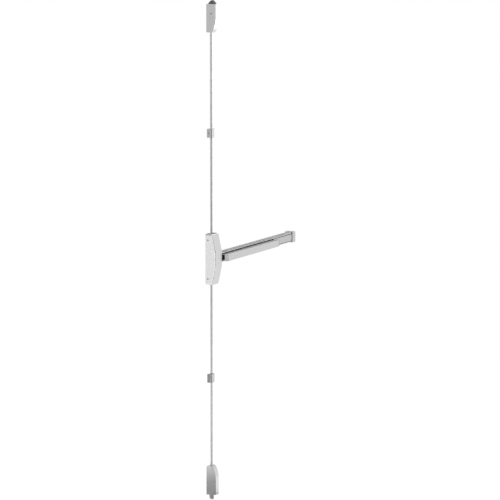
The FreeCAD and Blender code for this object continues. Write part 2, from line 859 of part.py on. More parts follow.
rail = new_body("rail_housing")
add(rail, "YZ_Plane", "rail_start", "rail_length", rail_profile)
soften(rail, "rail_edge_round",
       lambda e: runs_along(e, ALONG) and near(e.CenterOfMass.y, "-rail_depth")
       and near(abs(e.CenterOfMass.z), "rail_height / 2"))
cut(rail, "YZ_Plane", "rail_start - cut_over", "rail_length + 2 * cut_over", rail_grooves)
keep(rail)

tongue = new_body("rail_tongue")
add(tongue, "XZ_Plane", "plate_thick", "plate_thick",
    lambda s: rectangle(s, "tongue_start", "rail_start + tongue_reach",
                        "-tongue_height / 2", "tongue_height / 2"))
soften(tongue, "tongue_round", lambda e: runs_along(e, INWARD))
keep(tongue)


# Crank brackets on the rail's back wall, with their pins and cranks
EAR_LOW = "(crank_thick / 2 + move_gap)"
YOKE_OUT = "(yoke_clear + yoke_thick)"


def crank_bracket(name, middle):
    bracket = new_body("crank_bracket_" + name)
    add(bracket, "XZ_Plane", "plate_thick", "bracket_base",
        lambda s: rectangle(s, middle + " - bracket_tail", middle + " + bracket_nose",
                            "-bracket_height / 2", "bracket_height / 2"))
    for sign in (-1, 1):
        start = EAR_LOW if sign > 0 else minus("(%s + ear_thick)" % EAR_LOW)

        def ear(sketch):
            left = middle + " - ear_reach"
            right = middle + " + ear_reach"
            tip = minus("(crank_depth + crank_pin)")
            slant = minus("(crank_depth + crank_pin - ear_reach / 2)")
            outline(sketch, (
                (left, slant), (left + " + ear_reach / 2", tip), (right + " - ear_reach / 2", tip),
                (right, slant), (right, minus("plate_thick")), (left, minus("plate_thick")),
            ))

        add(bracket, "XY_Plane", start, "ear_thick", ear)
    cut(bracket, "XY_Plane", minus("2 * " + EAR_LOW), "4 * " + EAR_LOW,
        lambda s: disc(s, middle, "-crank_depth", "crank_pin / 2 + run_fit"))
    keep(bracket)


def crank_pin(name, middle):
    pin_half = "(%s + ear_thick)" % EAR_LOW
    pin = turned("crank_pin_" + name, (
        ("0", minus(pin_half)),
        ("crank_pin / 2", minus(pin_half)),
        ("crank_pin / 2", pin_half),
        ("crank_pin / 2 + pin_step", pin_half),
        ("crank_pin / 2 + pin_step", pin_half + " + pin_head_thick"),
        ("0", pin_half + " + pin_head_thick"),
    ))
    place(pin, middle, "-crank_depth", "0")
    keep(pin)


def rail_crank(name, middle):
    crank = new_body("rail_crank_" + name)
    start = "-crank_thick / 2"
    reach = minus("bar_arm")
    flat = minus(BAR_ARM_FLAT)
    arm = "drive_pin / 2 + slot_gap + crank_arm_wall"
    add(crank, "XY_Plane", start, "crank_thick", lambda s: disc(s, "0", "0", "crank_hub"))
    add(crank, "XY_Plane", start, "crank_thick",
        lambda s: rounded_slot(s, ("0", "0"), ("bar_arm", "0"), arm))
    add(crank, "XY_Plane", start, "crank_thick", lambda s: rounded_slot(s, ("0", "0"), ("0", reach), arm))
    cut(crank, "XY_Plane", start, "crank_thick", lambda s: disc(s, "0", "0", "crank_pin / 2 + run_fit"))
    cut(crank, "XY_Plane", start, "crank_thick",
        lambda s: rounded_slot(s, (BAR_ARM_FLAT, "0"), ("bar_arm", "0"), "drive_pin / 2 + slot_gap"))
    cut(crank, "XY_Plane", start, "crank_thick",
        lambda s: rounded_slot(s, ("0", flat), ("0", reach), "drive_pin / 2 + slot_gap"))
    place(crank, middle, "-crank_depth", "0", UPRIGHT, minus(HALF_SWING))
    keep(crank)


def drive_yoke(name, middle):
    """A fork under the push bar that holds the pin of a crank's first arm."""
    yoke = new_body("drive_yoke_" + name)
    pin_x = "(%s + %s)" % (middle, BAR_ARM_FLAT)
    pin_y = "(crank_depth + bar_stroke / 2)"
    web_front = "(bar_depth - bar_front_wall - channel_wall)"
    add(yoke, "XZ_Plane", web_front + " - yoke_thick", "yoke_thick",
        lambda s: rectangle(s, pin_x + " - yoke_width / 2", pin_x + " + yoke_width / 2",
                            minus(YOKE_OUT), YOKE_OUT))
    for sign in (-1, 1):
        start = "yoke_clear" if sign > 0 else minus(YOKE_OUT)

        def arm(sketch):
            left = pin_x + " - yoke_arm_width / 2"
            right = pin_x + " + yoke_arm_width / 2"
            tip = minus("(%s - yoke_foot)" % pin_y)
            top = minus("(%s - yoke_thick / 2)" % web_front)
            rectangle(sketch, left, right, top, tip)

        add(yoke, "XY_Plane", start, "yoke_thick", arm)
    cut(yoke, "XY_Plane", minus("2 * " + YOKE_OUT), "4 * " + YOKE_OUT,
        lambda s: disc(s, pin_x, minus(pin_y), "drive_pin / 2 + run_fit"))
    keep(yoke)
    pin = new_body("drive_pin_" + name)
    add(pin, "XY_Plane", minus(YOKE_OUT), "2 * " + YOKE_OUT,
        lambda s: disc(s, pin_x, minus(pin_y), "drive_pin / 2"))
    keep(pin)


for name in ("near", "far"):
    crank_bracket(name, "crank_" + name)
    crank_pin(name, "crank_" + name)
    rail_crank(name, "crank_" + name)
    drive_yoke(name, "crank_" + name)


# Push bar: skin, inner channel and moulded ends
BAR_BACK = "(bar_depth - bar_skirt)"


def bar_skin(sketch):
    half = "bar_height / 2"
    inner = "(bar_height / 2 - bar_side_wall)"
    front = minus("bar_depth")
    under = minus("(bar_depth - bar_front_wall)")
    back = minus(BAR_BACK)
    outline(sketch, (
        (back, half), (front, half), (front, minus(half)), (back, minus(half)),
        (back, minus(inner)), (under, minus(inner)), (under, inner), (back, inner),
    ))


def bar_channel(sketch):
    half = "(bar_height / 2 - bar_side_wall)"
    inner = "(bar_height / 2 - bar_side_wall - channel_wall)"
    front = minus("(bar_depth - bar_front_wall)")
    under = minus("(bar_depth - bar_front_wall - channel_wall)")
    back = minus("channel_back")
    outline(sketch, (
        (back, half), (front, half), (front, minus(half)), (back, minus(half)),
        (back, minus(inner)), (under, minus(inner)), (under, inner), (back, inner),
    ))


SKIN_START = "(bar_start + bar_cap_thick)"
SKIN_LENGTH = "(bar_end - bar_start - 2 * bar_cap_thick)"


def bar_front_edges(edge):
    return (runs_along(edge, ALONG) and near(edge.CenterOfMass.y, "-bar_depth")
            and near(abs(edge.CenterOfMass.z), "bar_height / 2"))


skin = new_body("push_bar_skin")
add(skin, "YZ_Plane", SKIN_START, SKIN_LENGTH, bar_skin)
soften(skin, "bar_round", bar_front_edges)
keep(skin)

channel = new_body("push_bar_channel")
add(channel, "YZ_Plane", SKIN_START, SKIN_LENGTH, bar_channel)
keep(channel)

for name in ("left", "right"):
    end = new_body("push_bar_end_" + name)
    outer = "bar_start" if name == "left" else "bar_end - bar_cap_thick"
    plug = SKIN_START if name == "left" else "bar_end - bar_cap_thick - bar_cap_plug"
    plug_half = "(bar_height / 2 - bar_side_wall - channel_wall - plug_gap)"
    plug_front = minus("(bar_depth - bar_front_wall - channel_wall - plug_gap)")
    add(end, "YZ_Plane", outer, "bar_cap_thick",
        lambda s: rectangle(s, "-bar_depth", minus(BAR_BACK), "-bar_height / 2", "bar_height / 2"))
    soften(end, "bar_round", bar_front_edges)
    add(end, "YZ_Plane", plug, "bar_cap_plug",
        lambda s: rectangle(s, plug_front, minus(BAR_BACK), minus(plug_half), plug_half))
    keep(end)


# Filler plate, end bracket and end cap
filler = new_body("filler_plate")
FILLER_START = "(bar_end + filler_gap)"


def filler_profile(sketch):
    front = minus("(rail_depth + filler_proud)")
    face = "(rail_opening / 2 - seat_gap)"
    wide = "(rail_height / 2 - rail_side_wall - seat_gap)"
    back = "(%s + filler_wall)" % LIP_BACK
    hollow = minus("(rail_depth + filler_proud - filler_wall)")
    inner = "(rail_opening / 2 - seat_gap - filler_wall)"
    outline(sketch, (
        (front, face), (front, minus(face)), (LIP_BACK, minus(face)), (LIP_BACK, minus(wide)),
        (back, minus(wide)), (back, minus(inner)), (hollow, minus(inner)), (hollow, inner),
        (back, inner), (back, wide), (LIP_BACK, wide), (LIP_BACK, face),
    ))


RAIL_END = "(rail_start + rail_length)"
CAP_START = "(%s - cap_over)" % RAIL_END
CAP_END = "(%s + cap_length)" % CAP_START
add(filler, "YZ_Plane", FILLER_START, "%s - filler_end_gap - %s" % (CAP_START, FILLER_START),
    filler_profile)
keep(filler)

BRACKET_START = "(%s + seat_gap)" % RAIL_END
BRACKET_END = "(%s - cap_wall - seat_gap)" % CAP_END

bracket = new_body("end_bracket")
add(bracket, "XZ_Plane", "0", "plate_thick",
    lambda s: rectangle(s, BRACKET_START, BRACKET_END, "-end_plate_height / 2", "end_plate_height / 2"))
add(bracket, "XZ_Plane", "plate_thick", "plate_thick",
    lambda s: rectangle(s, RAIL_END + " - end_tongue", BRACKET_START + " + tab_thick * 2",
                        "-tongue_height / 2", "tongue_height / 2"))
add(bracket, "XZ_Plane", "0", "end_flange_depth",
    lambda s: rectangle(s, BRACKET_END + " - tab_thick", BRACKET_END,
                        "-end_flange_height / 2", "end_flange_height / 2"))
END_HOLE_X = "((%s + %s) / 2)" % (BRACKET_START, BRACKET_END)
cut(bracket, "XZ_Plane", "-cut_over", "plate_thick + 2 * cut_over",
    two_holes(END_HOLE_X, "end_hole_up", "0", "door_hole / 2"))
cut(bracket, "YZ_Plane", BRACKET_END + " - tab_thick - cut_over", "tab_thick + 2 * cut_over",
    lambda s: disc(s, "-cap_screw_depth", "0", "screw_shank / 2 + run_fit"))
keep(bracket)


def cap_reliefs(sketch):
    """Clearances of the casting above and below the rail's front corners."""
    front = minus("(rail_depth + seat_gap + cap_relief)")
    back = "%s + cap_relief_long" % front
    inner = "(rail_height / 2 + seat_gap)"
    outer = "(%s + cap_relief)" % inner
    rectangle(sketch, front, back, inner, outer)
    rectangle(sketch, front, back, minus(outer), minus(inner))


cap = new_body("end_cap")
add(cap, "YZ_Plane", CAP_START, "cap_length",
    lambda s: rectangle(s, "-cap_depth", "0", "-cap_height / 2", "cap_height / 2"))
soften(cap, "cap_round",
       lambda e: not near(e.CenterOfMass.y, "0") and (
           (near(e.CenterOfMass.y, "-cap_depth") and not near(e.CenterOfMass.x, CAP_START))
           or near(e.CenterOfMass.x, CAP_END)))
RAIL_LAP = "cap_over + seat_gap + cut_over"
cut(cap, "YZ_Plane", CAP_START + " - cut_over", RAIL_LAP,
    lambda s: rectangle(s, minus("(rail_depth + seat_gap)"), "cut_over",
                        minus("(rail_height / 2 + seat_gap)"), "rail_height / 2 + seat_gap"))
cut(cap, "YZ_Plane", CAP_START + " - cut_over", RAIL_LAP, cap_reliefs)
cut(cap, "YZ_Plane", RAIL_END, "cap_length - cap_over - cap_wall",
    lambda s: rectangle(s, minus("(cap_depth - cap_wall)"), "cut_over",
                        minus("(cap_height / 2 - cap_wall)"), "cap_height / 2 - cap_wall"))
cut(cap, "YZ_Plane", CAP_END + " - cap_wall - cut_over", "cap_wall + 2 * cut_over",
    lambda s: disc(s, "-cap_screw_depth", "0", "screw_shank / 2 + seat_gap"))
keep(cap)

cap_screw = pan_screw("end_cap_screw")
place(cap_screw, CAP_END, "-cap_screw_depth", "0", INWARD, 90)
keep(cap_screw)


# Rod guides
def guide(name):
    middle = "guide_" + name
    inner_x = "(guide_width / 2 - guide_wall - seat_gap)"
    inner_z = "(guide_height / 2 - guide_wall - seat_gap)"
    base = new_body("guide_base_" + name)
    add(base, "XZ_Plane", "0", "plate_thick",
        lambda s: rectangle(s, minus(inner_x), inner_x, "%s - %s" % (middle, inner_z),
                            "%s + %s" % (middle, inner_z)))

    def tabs(sketch):
        for side in (-1, 1):
            inner = "%d * (%s - tab_thick)" % (side, inner_x)
            outer = "%d * %s" % (side, inner_x)
            left, right = (inner, outer) if side > 0 else (outer, inner)
            rectangle(sketch, left, right, middle + " - guide_tab_height / 2",
                      middle + " + guide_tab_height / 2")

    add(base, "XZ_Plane", "0", "guide_tab_depth", tabs)
    cut(base, "YZ_Plane", "-guide_width", "2 * guide_width",
        lambda s: disc(s, "-guide_screw_depth", middle, "screw_shank / 2 + run_fit"))
    cut(base, "XZ_Plane", "-cut_over", "plate_thick + 2 * cut_over",
        four_holes("guide_hole_across", "guide_hole_up", "guide_hole / 2", middle))
    keep(base)

    bush = new_body("guide_bush_" + name)
    low = middle + " - bush_height / 2"
    add(bush, "XY_Plane", low, "bush_height",
        lambda s: rectangle(s, "-bush_width / 2", "bush_width / 2", "-bush_front", "-plate_thick"))
    soften(bush, "bush_round",
           lambda e: runs_along(e, UPRIGHT) and near(e.CenterOfMass.y, "-bush_front"))
    cut(bush, "XY_Plane", low + " - cut_over", "bush_height + 2 * cut_over",
        lambda s: disc(s, "0", ROD_Y, ROD_HOLE))
    keep(bush)

    cover = new_body("guide_cover_" + name)
    add(cover, "XY_Plane", middle + " - guide_height / 2", "guide_height",
        lambda s: rectangle(s, "-guide_width / 2", "guide_width / 2", "-guide_depth", "0"))
    soften(cover, "guide_round",
           lambda e: runs_along(e, UPRIGHT) and near(e.CenterOfMass.y, "-guide_depth"))
    cut(cover, "XY_Plane", middle + " - guide_height / 2 + guide_wall", "guide_height - 2 * guide_wall",
        lambda s: rectangle(s, "-guide_width / 2 + guide_wall", "guide_width / 2 - guide_wall",
                            "-guide_depth + guide_wall", "cut_over"))
    cut(cover, "XY_Plane", middle + " - guide_height / 2 - cut_over", "guide_height + 2 * cut_over",
        rod_way)
    cut(cover, "YZ_Plane", "-guide_width", "2 * guide_width",
        lambda s: disc(s, "-guide_screw_depth", middle, "screw_shank / 2 + seat_gap"))
    keep(cover)

    pair = []
    for side, side_name in ((-1, "left"), (1, "right")):
        screw = pan_screw("guide_screw_%s_%s" % (name, side_name))
        place(screw, "%d * guide_width / 2" % side, "-guide_screw_depth", middle, INWARD, 90 * side)
        pair.append(screw)
    joined("guide_screws_" + name, pair)


guide("upper")
guide("lower")


# Top latch case
def top_profile(shrink):
    """Side profile of the case: straight, then an arc back to the lower end."""
    front = "(top_depth - %s)" % shrink
    radius = "(top_arc - %s)" % shrink
    drop = "(top_height - top_straight - %s)" % shrink
    foot = "(%s - %s + sqrt(%s * %s - %s * %s))" % (front, radius, radius, radius, drop, drop)
    back = "0" if shrink == "0" else "cut_over"
    low = "(top_bottom + %s)" % shrink
    high = "(%s - %s)" % (TOP_TOP, shrink)
    points = (
        (back, low), (back, high), (minus(front), high),
        (minus(front), TOP_TOP + " - top_straight"), (minus(foot), low),
    )
    return points, radius


def side_disc(depth, level, radius):
    return lambda sketch: disc(sketch, minus(depth), level, radius)


TOP_SCREW_Z = "(%s - top_screw_down)" % TOP_TOP
TOP_INNER_X = "(top_width / 2 - top_wall - seat_gap)"

case = new_body("top_cover")
add(case, "YZ_Plane", "-top_width / 2", "top_width",
    lambda s: outline(s, top_profile("0")[0], {3: "top_arc"}))
soften(case, "top_round", lambda e: clear_of_door(e) and not near(e.CenterOfMass.z, TOP_TOP))
inner_points, inner_radius = top_profile("top_wall")
cut(case, "YZ_Plane", "-top_width / 2 + top_wall", "top_width - 2 * top_wall",
    lambda s: outline(s, inner_points, {3: inner_radius}))
cut(case, "XY_Plane", TOP_TOP + " - top_wall - cut_over", "top_wall + 2 * cut_over",
    lambda s: rectangle(s, "-bolt_width / 2 - move_gap", "bolt_width / 2 + move_gap",
                        minus("(top_depth - top_wall)"), "cut_over"))
cut(case, "XY_Plane", "top_bottom - cut_over", "top_wall + 2 * cut_over", rod_way)
cut(case, "YZ_Plane", "-top_width", "2 * top_width",
    side_disc("top_screw_depth", TOP_SCREW_Z, "screw_shank / 2 + seat_gap"))
keep(case)

frame = new_body("top_base")
TOP_LOW = "(top_bottom + top_wall + seat_gap)"
TOP_HIGH = "(%s - top_wall - seat_gap)" % TOP_TOP
add(frame, "XZ_Plane", "0", "plate_thick",
    lambda s: rectangle(s, minus(TOP_INNER_X), TOP_INNER_X, TOP_LOW, TOP_HIGH))


def top_side(sketch):
    deep = minus("top_side_depth")
    outline(sketch, (
        ("0", TOP_LOW), ("0", TOP_HIGH), (deep, TOP_HIGH), (deep, TOP_LOW + " + top_side_rise"),
        ("-top_side_depth + top_side_foot", TOP_LOW + " + top_side_foot"),
        ("-top_side_depth + top_side_foot", TOP_LOW),
    ))


add(frame, "YZ_Plane", minus(TOP_INNER_X), "tab_thick", top_side)
add(frame, "YZ_Plane", TOP_INNER_X + " - tab_thick", "tab_thick", top_side)
add(frame, "XZ_Plane", "0", "rod_depth + rod_diameter / 2 + top_shelf_lip",
    lambda s: rectangle(s, minus(TOP_INNER_X), TOP_INNER_X, "top_bottom + top_shelf_level",
                        "top_bottom + top_shelf_level + rod_ear_thick"))
cut(frame, "XY_Plane", "top_bottom + top_shelf_level - cut_over", "rod_ear_thick + 2 * cut_over",
    lambda s: disc(s, "0", ROD_Y, ROD_HOLE))
cut(frame, "YZ_Plane", "-top_width", "2 * top_width",
    side_disc("top_screw_depth", TOP_SCREW_Z, "screw_shank / 2 + run_fit"))
cut(frame, "YZ_Plane", "-top_width", "2 * top_width",
    side_disc("bolt_pivot_depth", PIVOT_Z, "bolt_pivot_pin / 2 + run_fit"))
cut(frame, "XZ_Plane", "-cut_over", "plate_thick + 2 * cut_over",
    four_holes("top_hole_across", "top_hole_up", "door_hole / 2", "top_bottom + top_height / 2"))
keep(frame)

pivot = turned("top_pivot_pin", (
    ("0", minus(TOP_INNER_X)), ("bolt_pivot_pin / 2", minus(TOP_INNER_X)),
    ("bolt_pivot_pin / 2", TOP_INNER_X), ("0", TOP_INNER_X),
))
place(pivot, "0", "-bolt_pivot_depth", PIVOT_Z, INWARD, 90)
keep(pivot)

pair = []
for side, side_name in ((-1, "left"), (1, "right")):
    screw = pan_screw("top_screw_" + side_name)
    place(screw, "%d * top_width / 2" % side, "-top_screw_depth", TOP_SCREW_Z, INWARD, 90 * side)
    pair.append(screw)
joined("top_screws", pair)


# Top bolt: a pivoted nose that ramps up from the door and is bevelled to the front
BOLT_ARM = "(%s / sin(bolt_swing))" % ROD_STROKE
DRIVE_Y = "(bolt_pivot_depth + %s)" % BOLT_ARM
NOSE_R = "(top_depth - top_wall - bolt_pivot_depth - bolt_front_gap)"


def bolt_profile(sketch):
    back = minus("(plate_thick + bolt_back_gap)")
    deck = "(%s + bolt_deck)" % TOP_TOP
    peak = "(%s + bolt_rise)" % TOP_TOP
    nose_y = "(bolt_pivot_depth + %s)" % NOSE_R
    foot = "(%s - bolt_drive_pin / 2 - bolt_foot_wall)" % PIVOT_Z
    outline(sketch, (
        (back, PIVOT_Z + " - bolt_heel / 2"), (back, deck),
        ("-bolt_peak_depth", peak), (minus("(bolt_peak_depth + bolt_peak_flat)"), peak),
        (minus(nose_y), PIVOT_Z + " + bolt_nose_high"), (minus(nose_y), PIVOT_Z + " - bolt_nose_low"),
        (minus(nose_y + " - bolt_nose_bevel"), foot), (minus("(bolt_pivot_depth + bolt_foot_back)"), foot),
        (minus("(bolt_pivot_depth - bolt_heel)"), PIVOT_Z + " - bolt_heel_drop"),
    ))


bolt = new_body("top_bolt")
YOKE_X = "(bolt_width / 2 + seat_gap)"
add(bolt, "YZ_Plane", "-bolt_width / 2", "bolt_width", bolt_profile)
soften(bolt, "bolt_edge_round",
       lambda e: e.CenterOfMass.z > value(TOP_TOP + " + bolt_deck + cut_over")
       and near(abs(e.CenterOfMass.x), "bolt_width / 2"))
add(bolt, "YZ_Plane", minus("(%s + top_yoke_plate)" % YOKE_X), "2 * (%s + top_yoke_plate)" % YOKE_X,
    side_disc(DRIVE_Y, PIVOT_Z, "bolt_drive_pin / 2"))
cut(bolt, "YZ_Plane", "-bolt_width", "2 * bolt_width",
    side_disc("bolt_pivot_depth", PIVOT_Z, "bolt_pivot_pin / 2 + run_fit"))
keep(bolt)


# Yoke on the upper rod's end that pulls the bolt's pin down
SLOT_HALF = "(bolt_drive_pin / 2 + bolt_slot_gap)"
SLOT_REAR = "(bolt_pivot_depth + %s * cos(bolt_swing) - bolt_drive_pin / 2)" % BOLT_ARM


def yoke_side(sketch):
    low = YOKE_FOOT
    high = "%s + %s + top_yoke_wall" % (PIVOT_Z, SLOT_HALF)
    rear = minus("(%s - top_yoke_rear_wall)" % SLOT_REAR)
    front = minus("(%s + bolt_drive_pin / 2 + top_yoke_lip)" % DRIVE_Y)
    outline(sketch, (
        ("-connector_back", low), ("-connector_back", low + " + top_yoke_block"),
        (rear, high + " - top_yoke_block"), (rear, high), (front, high),
        (front, high + " - top_yoke_block"), ("-rod_depth - connector_back", low),
    ))


yoke = new_body("top_yoke")
add(yoke, "YZ_Plane", minus("(%s + top_yoke_plate)" % YOKE_X), "top_yoke_plate", yoke_side)
add(yoke, "YZ_Plane", YOKE_X, "top_yoke_plate", yoke_side)
add(yoke, "XY_Plane", YOKE_FOOT, "top_yoke_block",
    lambda s: rectangle(s, minus(YOKE_X), YOKE_X, "-rod_depth - connector_back + top_yoke_inset",
                        "-connector_back"))
cut(yoke, "XY_Plane", YOKE_FOOT + " - cut_over", "top_yoke_block",
    lambda s: disc(s, "0", ROD_Y, ROD_HOLE))
cut(yoke, "YZ_Plane", "-top_width", "2 * top_width",
    lambda s: rectangle(s, minus("(%s + top_depth)" % DRIVE_Y), minus("(%s - slot_gap)" % SLOT_REAR),
                        "%s - %s" % (PIVOT_Z, SLOT_HALF), "%s + %s" % (PIVOT_Z, SLOT_HALF)))
keep(yoke)


# Bottom latch case: tapered in plan, arched back to a shallow upper end
FOOT_TOP = "(foot_bottom + foot_height)"
FOOT_SCREW_Z = "(foot_bottom + foot_screw_up)"
TAPER = "((foot_back_width - foot_front_width) / 2 / foot_depth)"


def foot_plan(shrink):
    """The tapered plan, its sides drawn inwards by a wall."""
    back = "0" if shrink == "0" else "cut_over"
    wide = "(foot_back_width / 2 - %s + %s * %s)" % (shrink, TAPER, back)
    slim = "(foot_front_width / 2 - %s + %s * %s)" % (shrink, TAPER, shrink)
    front = minus("(foot_depth - %s)" % shrink)
    return ((minus(slim), front), (slim, front), (wide, back), (minus(wide), back))


def foot_side(shrink):
    back = "0" if shrink == "0" else "cut_over"
    front = minus("(foot_depth - %s)" % shrink)
    tip = minus("(foot_top_depth - %s)" % shrink)
    low = "(foot_bottom + %s)" % shrink
    high = "(%s - %s)" % (FOOT_TOP, shrink)
    return ((back, low), (back, high), (tip, high), (front, FOOT_TOP + " - foot_slope"), (front, low))


def prism(label, plane, start, length, draw):
    body = new_body(label)
    add(body, plane, start, length, draw)
    return body


def foot_block(label, shrink):
    """The overlap of the plan's prism and the side profile's prism."""
    across = prism(label + "_plan", "XY_Plane", "foot_bottom + %s" % shrink,
                   "foot_height - 2 * %s" % shrink, lambda s: outline(s, foot_plan(shrink)))
    along = prism(label + "_side", "YZ_Plane", "-foot_back_width", "2 * foot_back_width",
                  lambda s: outline(s, foot_side(shrink), {2: "foot_arc"}))
    block = doc.addObject("Part::Common", label)
    block.Base = across
    block.Tool = along
    return block


outer = foot_block("foot_outer", "0")
doc.recompute()
rounded = doc.addObject("Part::Fillet", "foot_rounded")
rounded.Base = outer
edges = []
for number, edge in enumerate(outer.Shape.Edges, 1):
    middle = edge.CenterOfMass
    if middle.y < -value("foot_top_depth") and abs(middle.x) > value("cut_over"):
        edges.append((number, value("foot_edge_round"), value("foot_edge_round")))
rounded.Edges = edges
inner = foot_block("foot_inner", "foot_wall")
openings = doc.addObject("Part::MultiFuse", "foot_openings")
way_up = prism("foot_rod_way", "XY_Plane", FOOT_TOP + " - foot_wall - cut_over",
               "foot_wall + 2 * cut_over", rod_way)
way_down = prism("foot_bolt_way", "XY_Plane", "foot_bottom - cut_over", "foot_wall + 2 * cut_over",
                 lambda s: disc(s, "0", ROD_Y, "foot_bolt / 2 + move_gap"))
screw_way = prism("foot_screw_way", "YZ_Plane", "-foot_back_width", "2 * foot_back_width",
                  side_disc("foot_screw_depth - %s * foot_wall / 2" % TAPER, FOOT_SCREW_Z,
                            "screw_shank / 2 + seat_gap"))
openings.Shapes = [inner, way_up, way_down, screw_way]
foot_cover = doc.addObject("Part::Cut", "foot_cover")
foot_cover.Base = rounded
foot_cover.Tool = openings
foot_cover.Label = "foot_cover"
keep(foot_cover)

# Bottom latch base plate with its screw tabs and the bolt's guide
FOOT_LOW = "(foot_bottom + foot_wall + seat_gap)"
SCREW_X = "(foot_back_width / 2 - %s * foot_screw_depth)" % TAPER
TAB_FRONT = "(foot_screw_depth + foot_tab_over)"
TAB_X = "(foot_front_width / 2 - foot_wall + %s * (foot_depth - %s) - seat_gap)" % (TAPER, TAB_FRONT)


def foot_plate(sketch):
    half = "foot_plate_width / 2"
    notch = "(foot_guide_width / 2 + run_fit)"
    top = FOOT_TOP + " - foot_wall - seat_gap"
    ledge = "(%s + foot_bolt_wide + %s + 2 * cut_over)" % (FOOT_BOLT_TIP, ROD_STROKE)
    outline(sketch, (
        (minus(half), FOOT_LOW), (minus(notch), FOOT_LOW), (minus(notch), ledge), (notch, ledge),
        (notch, FOOT_LOW), (half, FOOT_LOW), (half, top), (minus(half), top),
    ))


foot_base = new_body("foot_base")
add(foot_base, "XZ_Plane", "0", "plate_thick", foot_plate)


def foot_tabs(sketch):
    for side in (-1, 1):
        inner = "%d * (%s - tab_thick)" % (side, TAB_X)
        outer = "%d * %s" % (side, TAB_X)
        left, right = (inner, outer) if side > 0 else (outer, inner)
        rectangle(sketch, left, right, FOOT_SCREW_Z + " - foot_tab_height / 2",
                  FOOT_SCREW_Z + " + foot_tab_height / 2")


add(foot_base, "XZ_Plane", "0", TAB_FRONT, foot_tabs)
FOOT_TAB_HOLE = "(foot_screw_depth - (%s - %s + tab_thick / 2) * %s)" % (SCREW_X, TAB_X, TAPER)
cut(foot_base, "YZ_Plane", "-foot_back_width", "2 * foot_back_width",
    side_disc(FOOT_TAB_HOLE, FOOT_SCREW_Z, "screw_shank / 2 + slot_gap"))
cut(foot_base, "XZ_Plane", "-cut_over", "plate_thick + 2 * cut_over",
    four_holes("foot_hole_across", "foot_hole_up", "door_hole / 2", "(foot_bottom + foot_hole_rise)"))
keep(foot_base)

guide_block = new_body("foot_bolt_guide")
add(guide_block, "XY_Plane", FOOT_LOW, "foot_guide_height",
    lambda s: rectangle(s, "-foot_guide_width / 2", "foot_guide_width / 2", "-foot_guide_front", "0"))
soften(guide_block, "foot_guide_round",
       lambda e: runs_along(e, UPRIGHT) and near(e.CenterOfMass.y, "-foot_guide_front"))
cut(guide_block, "XY_Plane", FOOT_LOW + " - cut_over", "foot_guide_height + 2 * cut_over",
    lambda s: disc(s, "0", ROD_Y, "foot_bolt / 2 + run_fit"))
keep(guide_block)

foot_bolt = turned("bottom_bolt", (
    ("0", FOOT_BOLT_TIP),
    ("foot_bolt / 2", FOOT_BOLT_TIP),
    ("foot_bolt / 2", FOOT_BOLT_TIP + " + foot_bolt_wide"),
    ("foot_bolt_neck / 2", FOOT_BOLT_TIP + " + foot_bolt_wide"),
    ("foot_bolt_neck / 2", FOOT_BOLT_TOP),
    (ROD_HOLE, FOOT_BOLT_TOP),
    (ROD_HOLE, FOOT_BOLT_TOP + " - foot_bolt_bore"),
    ("0", FOOT_BOLT_TOP + " - foot_bolt_bore"),
))
soften(foot_bolt, "foot_bolt_bevel",
       lambda e: near(e.CenterOfMass.z, FOOT_BOLT_TIP) and not runs_along(e, ALONG),
       "PartDesign::Chamfer")
place(foot_bolt, "0", ROD_Y, "0")
keep(foot_bolt)

pair = []
for side, side_name in ((-1, "left"), (1, "right")):
    screw = pan_screw("foot_screw_" + side_name)
    slant = math.atan(value(TAPER))
    square = FreeCAD.Vector(math.sin(slant), side * math.cos(slant), 0)
    place(screw, "%d * %s" % (side, SCREW_X), "-foot_screw_depth", FOOT_SCREW_Z, square, "90")
    pair.append(screw)
joined("foot_screws", pair)


# Check, then write each sub-part
doc.recompute()
faults = []
for thing in doc.Objects:
    if "Invalid" in thing.State or "Error" in thing.State:
        faults.append("%s: %s" % (thing.Name, thing.State))
    if thing.TypeId == "PartDesign::Pocket" and not thing.Shape.isNull():
        if thing.Shape.Volume > thing.BaseFeature.Shape.Volume - 1e-6:
            faults.append("%s cuts nothing" % thing.Name)
for part in parts:
    if part.Shape.isNull() or not part.Shape.isValid():
        faults.append("%s has no valid shape" % part.Label)
if faults:
    raise RuntimeError("; ".join(faults))

os.makedirs("parts", exist_ok=True)
for part in parts:
    part.Shape.exportStep("parts/%s.step" % part.Label)
    print("%-24s %8.1f mm3  solids %d" % (part.Label, part.Shape.Volume, len(part.Shape.Solids)))
print(len(parts), "sub-parts")
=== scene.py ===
import math

import bpy
import numpy as np
from mathutils import Matrix, Vector


